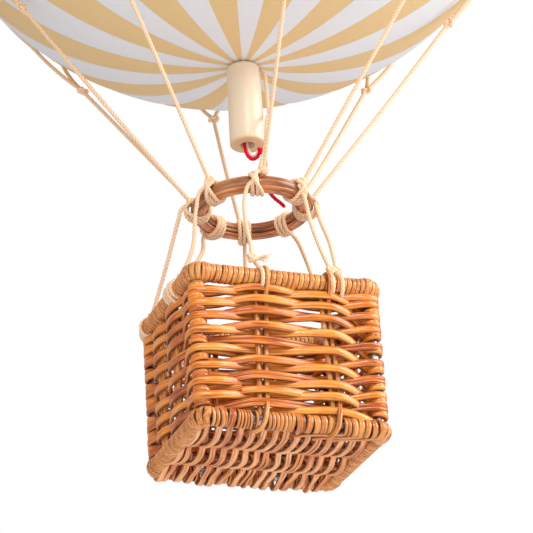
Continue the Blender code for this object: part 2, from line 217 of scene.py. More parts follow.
# Rows of weavers: the first and last full row's height at the front's left post, how their spacing
# wanders, and the heights that no row passes
TOP_ROW = -32.63
LOW_ROW = -62.78
ROW_WAVE = 1.0
ROW_SAG = 0.43
ROW_LIMITS = (-62.9, -31.75)
ROW_JITTER = 0.22
FIRST_ROW = -31.9

# A row's way past a corner post: how far from its middle outside, how far where it goes right
# round, and how much it climbs or falls on that turn
OUTSIDE_REACH = 1.8
TURN_REACH = 1.63
TURN_GAP = 1.15

# Rows of two thinner reeds, and each one's share of a full row's height and thickness
FINE_ROWS = (8, 12, 16)
FINE_HEIGHT = 0.58
FINE_THICKNESS = 0.85

# The row that is joined: its place on the front wall, the steps that its two ends overlap, and
# the depth that only the front wall's reeds pass
CUT_ROW = 14
CUT_PLACE = -15.9
CUT_LAP = 7
FRONT_LIMIT = -16.5

# How far each row stands over its own level at the posts and stakes, going round from the front's
# left post: even rows first, then odd rows
EVEN_RISES = (0.0, 0.8, 1.2, 2.1, 2.4, 2.4, 2.4, 2.4, 2.4, 0.0, 0.0, 0.0)
ODD_RISES = (0.0, 1.55, 2.0, -1.2, -1.4, -1.4, -1.4, -1.4, -1.4, 0.0, 0.0, 0.0)
ROW_TONES = (
    0.42, 0.55, 0.55, 0.50, 0.22, 0.35, 0.48, 0.66, 0.10,
    0.80, 0.34, 0.62, 0.06, 0.60, 0.58, 0.62, 0.06, 0.62)

# Cane bands on the front of the base rim: where each run of them starts and ends, and how many
BASE_BANDS = (
    (-21.4, -19.4, 2), (-19.2, -17.4, 1), (-17.2, -15.2, 1), (-14.9, -11.2, 5), (-10.3, -9.6, 1),
    (-7.3, -0.3, 7), (-0.2, 2.3, 1), (2.5, 9.8, 4), (12.2, 14.0, 2), (14.1, 21.0, 4),
    (21.3, 23.0, 1))

# How far the base rim's cane lies from its middle, how far that hangs under the wire, and how
# much the slack of wound cane may change from one step to the next
WRAP_LIE = 1.92
WRAP_SAG = -0.35
SLACK_STEP = 0.006

# Top rim: the width of its bands on the long sides' right ends and the short sides, as a share of
# the others, the width at the corners, and the share of the rim that is wound twice
END_BANDS = 0.85
CORNER_BANDS = 1.6
RIM_OVERLAP = 0.015

# A hooked stake's way over the top rim and the base rim: out from the wall, up from the rim's
# middle, and back along the wall
TOP_HOOK = (
    (0.0, -8.0, 0.0), (0.45, -4.6, 0.0), (2.1, -2.2, 0.0), (2.55, 0.0, 0.0), (1.95, 1.7, 0.0),
    (0.0, 2.55, 0.0), (-1.9, 1.9, 0.0), (-2.5, 0.1, 0.0))
BASE_HOOK = (
    (0.0, 8.0, 0.0), (0.45, 4.8, -0.3), (1.9, 2.6, -0.9), (2.55, 0.5, -1.5), (2.25, -1.4, -1.9),
    (1.2, -2.6, -2.5), (-0.2, -2.9, -3.2), (-1.5, -2.5, -3.8))
HOOKED_TONE = 0.55
STRAIGHT_TONE = 0.68

# Floor: the first strand's place, the space from each to the next, how far the first is shifted,
# and where its two cross rods lie, from the middle and over the base rim
FLOOR_LEFT = -23.27
FLOOR_STEP = 2.87
FIRST_STRAND_SHIFT = 0.9
FLOOR_RODS = ((-2.9, 0.3), (8.1, -0.2))
FLOOR_ROD_RADIUS = 0.7

# Strands that are split in two, and half the width of each part
SPLIT_STRANDS = (8, 11, 14)
SPLIT_HALF = 0.44

# A floor strand's start inside the front rim, and its full turn round a cross rod: under it, up
# beside it, back over it and down again
FLOOR_START = ((-0.9, 0.3, -1.2), (-0.75, 2.2, -1.7), (0.3, 6.5, -1.9))
FLOOR_TURN = (
    (0.75, -3.2, -2.15), (0.5, -1.6, -2.2), (-0.3, -0.3, -2.1), (-1.2, 0.7, -1.6),
    (-1.6, 1.3, -0.3), (-1.3, 0.8, 1.0), (-0.7, -0.5, 1.1), (-0.35, -1.2, 0.1),
    (-0.35, -0.7, -0.95), (-0.35, 0.5, -1.15), (-0.1, 1.9, -1.6))

# Loose ends that run along under the front rim before they turn into the floor
RUNNER_LEVEL = -2.5
RIM_RUNNERS = (
    ((1.5, -14.0, 0.3), (2.6, -16.2, -0.1), (4.6, -17.4, -0.25), (8.5, -17.9, -0.1),
     (12.4, -18.2, 0.1)),
    ((6.4, -13.6, 0.3), (7.6, -15.6, -0.1), (9.8, -16.8, -0.3), (13.6, -17.3, -0.2),
     (17.5, -18.0, 0.1)),
    ((11.6, -13.8, 0.3), (12.9, -15.6, -0.1), (15.0, -16.5, -0.3), (18.0, -16.9, -0.2),
     (20.6, -17.2, 0.1)),
)

# Camera, from the load ring's centre
CAMERA_PLACE = (-202.2, -508.7, -276.5)
CAMERA_HEADING = 21.96
CAMERA_PITCH = 25.39
CAMERA_ROLL = -3.88
CAMERA_LENS = 161.65
FLOOR_DROP = 280.0

# Studio lights: name, place and size in millimetres from the load ring, watts and what it faces
STUDIO_LIGHTS = (
    ("key_light", (660, -380, 330), 560, 6.85, (20, 0, 0)),
    ("fill_light", (-560, -560, -40), 700, 1.35, (0, 0, -20)),
    ("front_light", (-120, -760, 430), 260, 2.7, (0, 0, -40)),
    ("top_light", (0, 100, 800), 500, 1.0, (0, 0, 0)),
)

# The even light round the object, the light that its gloss reflects, and the studio floor's greys
# and half size in metres
AMBIENT = (0.475, 0.475, 0.475)
GLINT = (0.68, 0.52, 0.52)
FLOOR_GREYS = ((0.92, 0.92, 0.92), (0.95, 0.95, 0.95))
FLOOR_HALF = 12.0

# Finishes: how soft a gore's edge is, how far out across a strand its grooves and crests lie for
# the painted groove shade, colours that several patterns share (a painted glint, a painted shade at
# the tube's foot, a white thread), and the angle over which an edge stays sharp
GORE_BLUR = 0.004
GROOVE_REACH = 0.82
CREST_REACH = 0.97
PAINTED_GLINT_LINE = (1.0, 0.62, 0.34)
TUBE_FOOT_SHADE = (0.78, 0.50, 0.24)
WHITE_THREAD = (0.85, 0.80, 0.72)
SHARP_ANGLE = math.radians(50)


class BalloonSizes(bpy.types.PropertyGroup):
    """Sizes that a user may change."""

    cord_diameter: FloatProperty(
        name="Cord diameter", description="Thickness of the cotton cords",
        default=2 * CORD_RADIUS * MM, unit="LENGTH")
    weaver_rows: IntProperty(
        name="Weaver rows", description="Full rows of reed in the basket's walls",
        default=17, min=4)
    weaver_height: FloatProperty(
        name="Weaver height", description="Height of one reed in the walls",
        default=2.2 * MM, unit="LENGTH")
    weaver_thickness: FloatProperty(
        name="Weaver thickness", description="Thickness of one reed in the walls",
        default=1.1 * MM, unit="LENGTH")
    wrap_width: FloatProperty(
        name="Wrap width", description="Width of the cane that is wound round the top rim",
        default=1.5 * MM, unit="LENGTH")
    floor_strands: IntProperty(
        name="Floor strands", description="Strands that cross the basket's floor",
        default=16, min=4)


class BalloonColours(bpy.types.PropertyGroup):
    """Colours that a user may change."""

    paper: FloatVectorProperty(
        name="Paper", description="White gores", subtype="COLOR", default=(0.75, 0.735, 0.755))
    stripe: FloatVectorProperty(
        name="Stripe", description="Tan gores", subtype="COLOR", default=(0.76, 0.52, 0.245))
    cotton: FloatVectorProperty(
        name="Cotton", description="Cords", subtype="COLOR", default=(0.95, 0.66, 0.43))
    signal: FloatVectorProperty(
        name="Valve line", description="Red strand", subtype="COLOR", default=(0.78, 0.012, 0.03))
    tube: FloatVectorProperty(
        name="Tube", description="Appendix tube", subtype="COLOR", default=(0.83, 0.67, 0.485))
    reed: FloatVectorProperty(
        name="Reed", description="Weavers", subtype="COLOR", default=(0.76, 0.195, 0.014))
    cane: FloatVectorProperty(
        name="Cane", description="Rim wraps and stakes", subtype="COLOR",
        default=(0.69, 0.215, 0.034))
    rattan: FloatVectorProperty(
        name="Rattan", description="Load ring", subtype="COLOR", default=(0.58, 0.175, 0.045))
    brass: FloatVectorProperty(
        name="Brass", description="Crown fittings", subtype="COLOR", default=(0.80, 0.58, 0.26))
    zinc: FloatVectorProperty(
        name="Wire", description="Basket frame", subtype="COLOR", default=(0.62, 0.61, 0.58))


# ---- Shader maths ----


class Shade:
    """A number or a colour in a node tree. Python's own signs work on the numbers."""

    def __init__(self, nodes, socket):
        self.nodes = nodes
        self.socket = socket

    def maths(self, operation, first, second=0.0):
        return self.nodes.node("ShaderNodeMath", {"operation": operation}, {0: first, 1: second})

    def __add__(self, other):
        return self.maths("ADD", self, other)

    def __radd__(self, other):
        return self.maths("ADD", other, self)

    def __sub__(self, other):
        return self.maths("SUBTRACT", self, other)

    def __rsub__(self, other):
        return self.maths("SUBTRACT", other, self)

    def __mul__(self, other):
        return self.maths("MULTIPLY", self, other)

    def __rmul__(self, other):
        return self.maths("MULTIPLY", other, self)

    def __abs__(self):
        return self.maths("ABSOLUTE", self)


class Nodes:
    """A node tree, filled by short calls."""

    def __init__(self, tree):
        self.tree = tree

    def feed(self, socket, value):
        if isinstance(value, Shade):
            self.tree.links.new(value.socket, socket)
        elif socket.type == "RGBA" and len(value) == 3:
            socket.default_value = (*value, 1.0)
        else:
            socket.default_value = value

    def node(self, kind, settings=None, inputs=None, output=0):
        """Any node: its settings first, then the values or links of its sockets."""
        made = self.tree.nodes.new(kind)
        for name, value in (settings or {}).items():
            if name == "stops":
                self.set_stops(made.color_ramp, value)
            else:
                setattr(made, name, value)
        for name, value in (inputs or {}).items():
            self.feed(made.inputs[name], value)
        return Shade(self, made.outputs[output])

    def set_stops(self, ramp, stops):
        while len(ramp.elements) < len(stops):
            ramp.elements.new(1.0)
        for element, (place, colour) in zip(ramp.elements, stops):
            element.position = place
            element.color = (*colour, 1.0)


class Look(Nodes):
    """One material, with the patterns that several finishes share."""

    def __init__(self, name):
        self.material = bpy.data.materials.new(name)
        self.material.use_nodes = True
        super().__init__(self.material.node_tree)

    def place(self):
        return self.node("ShaderNodeTexCoord", output=3)

    def strand_marks(self):
        """What strand() leaves on its points: the place along and across, and the tone."""
        grain = self.node("ShaderNodeAttribute", {"attribute_name": "grain"}, output=1)
        tone = self.node("ShaderNodeAttribute", {"attribute_name": "strand"}, output=2)
        return grain, tone

    def painted_groove_shade(self, grain, low, high):
        """Painted shade across a strand: from low in its grooves to high on its crests."""
        across = self.node(
            "ShaderNodeVectorMath", {"operation": "LENGTH"}, {0: self.scaled(grain, (0, 1, 1))},
            output=1)
        return self.fade(across, GROOVE_REACH, CREST_REACH, low, high)

    def scaled(self, vector, scale):
        return self.node("ShaderNodeVectorMath", {"operation": "MULTIPLY"}, {0: vector, 1: scale})

    def split(self, vector, axis):
        return self.node("ShaderNodeSeparateXYZ", inputs={0: vector}, output=axis)

    def noise(self, vector, scale=1.0, detail=2.0, seed=0.0, roughness=0.5):
        return self.node(
            "ShaderNodeTexNoise", {"noise_dimensions": "4D"},
            {"Vector": vector, "W": seed, "Scale": scale, "Detail": detail, "Roughness": roughness})

    def fade(self, value, low, high, start=0.0, end=1.0):
        """A smooth step from start to end as the value goes from low to high."""
        return self.node(
            "ShaderNodeMapRange", {"interpolation_type": "SMOOTHSTEP"},
            {"Value": value, "From Min": low, "From Max": high, "To Min": start, "To Max": end})

    def mix(self, factor, first, second, blend="MIX"):
        return self.node(
            "ShaderNodeMix", {"data_type": "RGBA", "blend_type": blend},
            {0: factor, 6: first, 7: second}, output=2)

    def shaded(self, colour, share):
        return self.mix(1.0, colour, share, "MULTIPLY")

    def bump(self, height, distance, strength):
        return self.node(
            "ShaderNodeBump",
            inputs={"Height": height, "Distance": distance * MM, "Strength": strength})

    def surface(self, **inputs):
        shader = self.tree.nodes["Principled BSDF"]
        for name, value in inputs.items():
            socket = name.replace("_", " ").title().replace("Ior", "IOR")
            self.feed(shader.inputs[socket], value)
        return self.material


def darker(colour, share):
    return tuple(channel * share for channel in colour)


def towards(colour, other, share):
    return tuple(a + (b - a) * share for a, b in zip(colour, other))


def paper_look(colours):
    """White paper with tan gores, each edge a little uneven, and a faint fibre."""
    look = Look("striped_paper")
    centred = look.node(
        "ShaderNodeMapping", {"vector_type": "POINT"},
        {0: look.place(), 1: (0, 0, -(ENVELOPE_RISE + RING_LEVEL) * MM)})
    east, north = look.split(centred, 0), look.split(centred, 1)
    turn = look.node("ShaderNodeMath", {"operation": "ARCTAN2"}, {0: north, 1: east})
    drift = look.noise(centred, scale=22.0, detail=1.0, seed=3.0) - 0.5
    # One pair of a tan and a white gore counts as 1, so their edge lies at a quarter
    pair = turn * (GORE_COUNT / 2 / (2 * math.pi)) + drift * 0.05
    near = look.node("ShaderNodeMath", {"operation": "PINGPONG"}, {0: pair, 1: 0.5})
    fibre = look.noise(centred, scale=900.0, detail=3.0)
    cloud = look.noise(centred, scale=35.0)
    tan = look.mix(cloud * 0.6, colours.stripe, darker(colours.stripe, 0.9))
    white = look.mix(cloud * 0.5, colours.paper, darker(colours.paper, 0.95))
    printed = look.mix(look.fade(near, 0.25 - GORE_BLUR, 0.25 + GORE_BLUR), tan, white)
    seam = look.fade(abs(near - 0.25), 0.0, 3 * GORE_BLUR, 0.88, 1.0)
    return look.surface(
        base_color=look.shaded(printed, seam * (0.97 + fibre * 0.06)),
        roughness=0.52 + fibre * 0.12, normal=look.bump(fibre, 0.05, 0.35))


def cotton_look(name, colour):
    """Twisted cord, fuzzy, light along the plies, with painted shade that darkens the grooves
    between them.
    """
    look = Look(name)
    grain, tone = look.strand_marks()
    fibre = look.noise(look.scaled(grain, (3.0, 2.2, 2.2)), scale=2.0, detail=3.0, seed=tone * 31)
    body = look.mix(fibre, darker(colour, 0.9), darker(colour, 1.15))
    # Painted shade: the base colour drops to 0.8 in the grooves between the plies.
    return look.surface(
        base_color=look.shaded(body, look.painted_groove_shade(grain, 0.8, 1.0)), roughness=0.82 + fibre * 0.12,
        specular_ior_level=0.15, normal=look.bump(fibre, 0.06, 0.6))


def plant_look(name, colour, light, dark, gloss, streak, painted_edge_shade, coat):
    """Lacquered reed or cane: grain streaks, a tone for each strand, painted glint lines, and
    painted shade that darkens edges and grooves.
    """
    look = Look(name)
    grain, tone = look.strand_marks()
    streaks = look.noise(
        look.scaled(grain, (0.09, 2.6, 2.6)), detail=5.0, seed=tone * 57, roughness=0.65)
    patches = look.noise(look.scaled(grain, (0.14, 0.4, 0.4)), seed=tone * 91)
    hairs = look.noise(look.scaled(grain, (0.12, 4.2, 4.2)), detail=3.0, seed=tone * 23)
    depth = (tone - 0.5) * 0.75 + (streaks - 0.5) * streak * 3.4 + patches
    stops = ((0.0, dark), (0.38, colour), (0.72, towards(colour, light, 0.5)), (1.0, light))
    body = look.node("ShaderNodeValToRGB", {"stops": stops}, {"Fac": depth})
    # Painted highlight: thin pale lines along the grain that stand in for glints off the lacquer.
    painted_glint_lines = look.fade(hairs, 0.54, 0.64, 0.0, streak * 0.7)
    glinted_body = look.mix(painted_glint_lines, body, towards(light, PAINTED_GLINT_LINE, 0.35))
    lined = look.mix(look.fade(hairs, 0.36, 0.46, streak, 0.0), glinted_body, dark)
    # Painted shade: each strand darkens towards its edges, where rows and bands meet, and in its
    # grooves.
    edge = look.fade(abs(look.split(grain, 1)), 0.66, 1.0, 1.0, painted_edge_shade)
    return look.surface(
        base_color=look.shaded(lined, edge * look.painted_groove_shade(grain, 0.3, 1.0)),
        roughness=gloss + streaks * 0.2, specular_ior_level=0.3, coat_weight=coat,
        coat_roughness=0.13, normal=look.bump(streaks + hairs, 0.05, 0.8))


def tube_look(colours):
    """Smooth cream tube with faint long streaks, and painted shade that makes it warmer at its foot
    and in its bore.
    """
    look = Look("cream_tube")
    place = look.place()
    streaks = look.noise(look.scaled(place, (1.0, 1.0, 0.06)), scale=900.0, detail=3.0)
    cloud = look.noise(place, scale=160.0)
    foot = (TUBE_FOOT + RING_LEVEL) * MM
    # Painted shade: near the foot the colour turns towards a darker, warmer brown, fading out 1.2
    # mm up.
    low = look.fade(look.split(place, 2), foot - 0.1 * MM, foot + 1.2 * MM, 0.7, 0.0)
    body = look.mix(cloud * 0.5, colours.tube, darker(colours.tube, 0.93))
    return look.surface(
        base_color=look.shaded(look.mix(low, body, TUBE_FOOT_SHADE), 0.96 + streaks * 0.08),
        roughness=0.36 + streaks * 0.12, coat_weight=0.12, normal=look.bump(streaks, 0.02, 0.4))


def metal_look(name, colour, roughness):
    look = Look(name)
    worn = look.noise(look.place(), scale=420.0, detail=4.0)
    return look.surface(
        base_color=look.mix(worn, darker(colour, 0.72), colour), metallic=1.0,
        roughness=roughness + worn * 0.25, normal=look.bump(worn, 0.02, 0.4))


def floor_look():
    look = Look("studio_floor")
    cloud = look.noise(look.place(), scale=6.0)
    return look.surface(base_color=look.mix(cloud, *FLOOR_GREYS), roughness=0.8)


# ---- Routes ----


def polar(radius, degrees, height):
    turn = math.radians(degrees)
    return Vector((radius * math.cos(turn), radius * math.sin(turn), height))


def on_envelope(reach, azimuth, latitude):
    """A point at a set reach from the envelope's centre."""
    rise = math.radians(latitude)
    point = polar(reach * math.cos(rise), azimuth, reach * math.sin(rise))
    return point + Vector((0, 0, ENVELOPE_RISE))


def heading_at(knots, index, closed):
    """The way a smooth route runs at one of its knots, nearer neighbours counting more."""
    count = len(knots)
    back = knots[index] - knots[index - 1] if index or closed else None
    on = knots[(index + 1) % count] - knots[index] if index + 1 < count or closed else None
    if back is None or on is None:
        return (on or back).normalized()
    return (back.normalized() * on.length + on.normalized() * back.length).normalized()


def smooth_route(points, spacing, closed=False):
    """Points a set distance apart on a smooth curve through a few chosen ones."""
    knots = [Vector(point) for point in points]
    headings = [heading_at(knots, index, closed) for index in range(len(knots))]
    curve = []
    for index in range(len(knots) - (not closed)):
        after = (index + 1) % len(knots)
        reach = (knots[after] - knots[index]).length / 3
        first = knots[index] + headings[index] * reach
        second = knots[after] - headings[after] * reach
        curve += interpolate_bezier(knots[index], first, second, knots[after], CURVE_STEPS)[:-1]
    curve.append(knots[0] if closed else knots[-1])
    return even_steps(curve, spacing, closed)


def distances(curve):
    """How far along a curve each of its points lies."""
    along = [0.0]
    for before, after in zip(curve, curve[1:]):
        along.append(along[-1] + (after - before).length)
    return along


def even_steps(curve, spacing, closed=False):
    """The same curve, with its points moved to even distances along it."""
    along = distances(curve)
    steps = max(3, round(along[-1] / spacing))
    result = []
    at = 0
    for step in range(steps + (not closed)):
        wanted = along[-1] * step / steps
        while at + 2 < len(along) and along[at + 1] < wanted:
            at += 1
        share = (wanted - along[at]) / max(along[at + 1] - along[at], 1e-9)
        result.append(curve[at].lerp(curve[at + 1], min(share, 1.0)))
    return result


def places_along(route, facing=None, closed=False):
    """A turn and a place for each point: X runs along, and Z faces the given way."""
    places = []
    up = Vector((0.3, 0.2, 1.0))
    for index, point in enumerate(route):
        before = route[index - 1] if index or closed else point
        after = route[(index + 1) % len(route)] if index + 1 < len(route) or closed else point
        ahead = (after - before).normalized()
        up = facing[index] if facing else up
        up = (up - ahead * up.dot(ahead)).normalized()
        turn = Matrix((ahead, up.cross(ahead), up)).transposed()
        places.append(Matrix.Translation(point) @ turn.to_4x4())
    return places


# ---- Strands ----


def outline(sides, shape):
    """A closed outline one unit across each way, from a shape that gives each turn's reach."""
    points = []
    for step in range(sides):
        turn = 2 * math.pi * step / sides
        reach = shape(turn)
        points.append((reach * math.cos(turn), reach * math.sin(turn)))
    return points


def round_outline(sides):
    return outline(sides, lambda turn: 1.0)


def plied_outline(sides):
    return outline(sides, lambda turn: 0.8 + 0.2 * abs(math.cos(turn * PLIES / 2)))


def reed_outline():
    """A flat reed, crowned on both sides, with round edges."""
    return [(math.copysign(abs(y) ** 0.62, y), z) for y, z in round_outline(12)]


def cane_outline():
    """A split cane: nearly flat, with tight round edges."""
    return [
        (math.copysign(abs(y) ** 0.45, y), math.copysign(abs(z) ** 0.8, z))
        for y, z in round_outline(12)]


def grooved_outline():
    """The load ring's rod, with narrow grooves at uneven places round it."""
    dice = random.Random(3)
    cuts = [
        (2 * math.pi * (number + dice.uniform(-0.3, 0.3)) / GROOVE_COUNT, dice.uniform(0.06, 0.22))
        for number in range(GROOVE_COUNT)]

    def reach(turn):
        cut = 0.0
        for place, depth in cuts:
            apart = abs((turn - place + math.pi) % (2 * math.pi) - math.pi)
            cut = max(cut, depth * max(0.0, 1 - apart / GROOVE_HALF_WIDTH))
        return 1 - cut

    return outline(60, reach)


def straight_strand(shape, stations):
    """A closed prism along X, with one ring of its outline at each whole number."""
    bm = bmesh.new()
    ring = [bm.verts.new((0, y, z)) for y, z in shape]
    near = [bm.edges.new((ring[index - 1], ring[index])) for index in range(len(ring))]
    made = bmesh.ops.extrude_edge_only(bm, edges=near)["geom"]
    far = [item for item in made if isinstance(item, bmesh.types.BMEdge)]
    ends = [item for item in made if isinstance(item, bmesh.types.BMVert)]
    bmesh.ops.translate(bm, vec=(stations - 1, 0, 0), verts=ends)
    long = [edge for edge in bm.edges if edge.verts[0].co.x != edge.verts[1].co.x]
    bmesh.ops.subdivide_edges(bm, edges=long, cuts=stations - 2)
    return bm, near, far


def strand(
        route, shape, width, depth=None, facing=None, twist=0.0, sizes=None, flat=False,
        closed=False, tone=0.5, along=None):
    """An outline swept along a route. Each vertex keeps its distance along and its place across.

    The width follows the sizes, and so does the depth unless the strand is flat.
    """
    stations = len(route)
    depth = depth or width
    bm, near, far = straight_strand(shape, stations)
    grain = bm.verts.layers.float_vector.new("grain")
    shade = bm.verts.layers.float.new("strand")
    places = places_along(route, facing, closed)
    step = (route[1] - route[0]).length
    for vert in bm.verts:
        station = round(vert.co.x)
        size = sizes[station] if sizes else 1.0
        local = Vector((0, vert.co.y * width * size, vert.co.z * depth * (1.0 if flat else size)))
        vert[grain] = (along[station] if along else station * step, vert.co.y, vert.co.z)
        vert[shade] = tone[station] if isinstance(tone, list) else tone
        local.rotate(Matrix.Rotation(twist * station * step, 3, "X"))
        vert.co = places[station] @ local
    if closed:
        bmesh.ops.bridge_loops(bm, edges=near + far)
    else:
        bmesh.ops.edgeloop_fill(bm, edges=near)
        bmesh.ops.edgeloop_fill(bm, edges=far)
    bmesh.ops.recalc_face_normals(bm, faces=bm.faces)
    return bm


def rounded_ends(count):
    """Sizes that close a strand's two ends in a small dome."""
    sizes = [1.0] * count
    for step in range(min(DOME_STEPS, count // 2)):
        size = math.sin(math.pi / 2 * (step + 0.8) / (DOME_STEPS + 0.8))
        sizes[step] = size
        sizes[-1 - step] = size
    return sizes


def cord(route, radius=CORD_RADIUS, tone=0.5, sides=12, closed=False):
    """Three-ply twisted cord along a route of evenly spaced points."""
    sizes = None if closed else rounded_ends(len(route))
    twist = 2 * math.pi / PLY_PITCH
    if closed:
        length = len(route) * (route[1] - route[0]).length
        twist = 2 * math.pi / PLIES * round(PLIES * length / PLY_PITCH) / length
    return strand(
        route, plied_outline(sides), radius, twist=twist, sizes=sizes, closed=closed, tone=tone)


def gather(strands):
    """Many strands in one bmesh."""
    whole = bmesh.new()
    for bm in strands:
        mesh = bpy.data.meshes.new("strand")
        bm.to_mesh(mesh)
        bm.free()
        whole.from_mesh(mesh)
        bpy.data.meshes.remove(mesh)
    return whole


def spun(bm, segments):
    """Spin all of a bmesh once round Z, and close it."""
    bmesh.ops.spin(
        bm, geom=bm.verts[:] + bm.edges[:], cent=(0, 0, 0), axis=(0, 0, 1), angle=2 * math.pi,
        steps=segments, use_merge=True)
    bmesh.ops.remove_doubles(bm, verts=bm.verts, dist=0.0005)
    bmesh.ops.recalc_face_normals(bm, faces=bm.faces)
    return bm


def turned(profile):
    """A closed profile of radius and height, spun into one body."""
    bm = bmesh.new()
    verts = [bm.verts.new((radius, 0, height)) for radius, height in profile]
    for index in range(len(verts)):
        bm.edges.new((verts[index - 1], verts[index]))
    return spun(bm, 64)


def rounded(bm, radius_low, radius_high, low, high, width):
    """Round the turned edges that lie inside a band of radius, from one height to another."""
    edges = []
    for edge in bm.edges:
        a, b = (vert.co for vert in edge.verts)
        level = abs(a.z - b.z) < 0.001
        inside = all(radius_low < math.hypot(p.x, p.y) < radius_high for p in (a, b))
        if level and inside and low - 0.1 < a.z < high + 0.1:
            edges.append(edge)
    bmesh.ops.bevel(
        bm, geom=edges, offset=width, segments=4, profile=0.5, affect="EDGES", material=-1)


def wire_hoop(radius, wire, plane_turn, rise):
    """A round wire bent into a hoop that stands upright."""
    bm = bmesh.new()
    made = bmesh.ops.create_circle(bm, segments=20, radius=wire)
    across = Matrix.Rotation(math.pi / 2, 3, "X")
    bmesh.ops.rotate(bm, verts=made["verts"], cent=(0, 0, 0), matrix=across)
    bmesh.ops.translate(bm, verts=made["verts"], vec=(radius, 0, 0))
    spun(bm, 72)
    upright = Matrix.Rotation(plane_turn, 4, "Z") @ Matrix.Rotation(math.pi / 2, 4, "X")
    bmesh.ops.transform(bm, matrix=Matrix.Translation((0, 0, rise)) @ upright, verts=bm.verts)
    return bm


def finish(name, bm, look, body=None, stands_for=()):
    """Set a bmesh in place in metres as a piece, which rides with its body."""
    bmesh.ops.translate(bm, vec=(0, 0, RING_LEVEL), verts=bm.verts)
    bmesh.ops.scale(bm, vec=(MM, MM, MM), verts=bm.verts)
    mesh = bpy.data.meshes.new(name)
    bm.to_mesh(mesh)
    bm.free()
    mesh.shade_smooth()
    mesh.set_sharp_from_angle(angle=SHARP_ANGLE)
    mesh.materials.append(look)
    piece = bpy.data.objects.new(name, mesh)
    bpy.context.scene.collection.objects.link(piece)
    if body:
        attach(piece, body)
    if stands_for:
        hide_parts(*stands_for)
    return piece


def in_part(point):
    """A point measured from the load ring's centre, in the part's own metres."""
    return tuple((Vector(point) + Vector((0, 0, RING_LEVEL))) * MM)


def numbered(name, count):
    return [f"{name}_{number + 1}" for number in range(count)]


# ---- Envelope ----


def envelope_shell():
    """A sphere of paper whose gores dip a little where they meet."""
    bm = bmesh.new()
    bmesh.ops.create_uvsphere(bm, u_segments=GORE_COUNT * 6, v_segments=80, radius=ENVELOPE_RADIUS)
    for vert in bm.verts:
        turn = math.degrees(math.atan2(vert.co.y, vert.co.x)) * GORE_COUNT / 360
        apart = abs((turn + 0.5) % 1 - 0.5)
        belly = min(1.0, math.hypot(vert.co.x, vert.co.y) / 30)
        seam = max(0.0, apart * 6 - 2)
        vert.co *= 1 - GORE_DIP * seam * belly / ENVELOPE_RADIUS
    bmesh.ops.translate(bm, vec=(0, 0, ENVELOPE_RISE), verts=bm.verts)
    return bm


def tube_shell():
    """The appendix tube, with rounded shoulders, a rounded foot and its bore."""
    foot = TUBE_HIGH.x
    bm = turned((
        (TUBE_BORE, TUBE_FOOT), (foot, TUBE_FOOT), (TUBE_TOP_RADIUS, TUBE_TOP),
        (TUBE_BORE, TUBE_TOP)))
    rounded(bm, 3.0, 6.0, TUBE_TOP, TUBE_TOP, 1.0)
    rounded(bm, 3.0, 6.0, TUBE_FOOT, TUBE_FOOT, 0.75)
    rounded(bm, 1.0, 2.5, TUBE_FOOT, TUBE_FOOT, 0.35)
    return bm


def cap_shell():
    top = CAP_FOOT + CAP_HEIGHT
    bm = turned((
        (0.0, CAP_FOOT), (CAP_RADIUS, CAP_FOOT), (CAP_RADIUS, CAP_FOOT + CAP_EDGE),
        (CAP_RADIUS * 0.72, top - 0.5), (CAP_RADIUS * 0.35, top), (0.0, top)))
    rounded(bm, 1.0, CAP_RADIUS + 1, CAP_FOOT, top, 0.3)
    return bm


# ---- Rigging ----


def seat_of(number):
    return polar(RING_RADIUS, STAYS[number][0], 0)


def knot_of(number):
    return polar(KNOT_ORBIT, STAYS[number][2], KNOT_RISE)


def overhand_knot(place, facing, size, tone, radius=CORD_RADIUS):
    """A pulled-up overhand knot, three lobes that pass over and under each other."""
    side = facing.orthogonal().normalized()
    turn = Matrix((side, facing.cross(side), facing)).transposed()
    points = []
    for step in range(18):
        t = 2 * math.pi * step / 18
        lobe = Vector((
            math.sin(t) + 2 * math.sin(2 * t), math.cos(t) - 2 * math.cos(2 * t),
            -1.4 * math.sin(3 * t)))
        points.append(place + turn @ (lobe * size / 6))
    return cord(smooth_route(points, CORD_STEP, True), radius, tone, closed=True)


def seat_knot(number, tone):
    """The small knot on top of a lashing, where the stay comes out of it."""
    seat = polar(RING_RADIUS, STAYS[number][1], 0)
    up = (knot_of(number) - seat).normalized()
    return overhand_knot(seat + up * (RING_ROD + 1.3), up, 1.9, tone)


def stay_routes(number, dice):
    """One stay: its long cord, and two legs that lie on the envelope."""
    foot = polar(RING_RADIUS, STAYS[number][1], 0)
    knot = knot_of(number)
    low = foot + (knot - foot).normalized() * (RING_ROD + 0.5)
    bow = Vector((dice.uniform(-0.3, 0.3), dice.uniform(-0.3, 0.3), -0.2))
    routes = [smooth_route((low, low.lerp(knot, 0.5) + bow, knot), CORD_STEP)]
    for side in (-1, 1):
        routes.append(leg_route(number, knot, side))
    return routes


def leg_route(number, knot, side):
    """A crow's foot leg: from the knot to the envelope, then up over its surface to the net."""
    azimuth = LEG_START + number * 360 / STAY_COUNT
    lie = ENVELOPE_RADIUS + CORD_RADIUS
    centre = Vector((0, 0, ENVELOPE_RISE))
    top = on_envelope(lie, azimuth + side * LEG_SPREAD, NET_ROWS[0]) - centre
    start = knot - centre
    points = [knot]
    for step in range(1, 13):
        t = step / 12
        between = start.lerp(top, t)
        reach = max(lie, start.length * (1 - 3 * t) + lie * 3 * t) if t < 1 / 3 else lie
        points.append(between.normalized() * reach + centre)
    return smooth_route(points, LEG_STEP)


def keeper_route():
    """The slack cord from the tube's top down its side and behind a stay to the near lashing."""
    return smooth_route((
        (4.6, -0.8, TUBE_TOP - 0.2), (5.3, -1.4, TUBE_TOP - 1.6), (5.5, -1.8, TUBE_TOP - 5.5),
        (5.4, -2.4, TUBE_TOP - 10.0), (5.1, -3.4, TUBE_TOP - 15.0), (3.6, -6.0, 24.0),
        (0.6, -10.0, 12.0), seat_of(6) + Vector((1.2, 0.3, 2.8))), CORD_STEP)


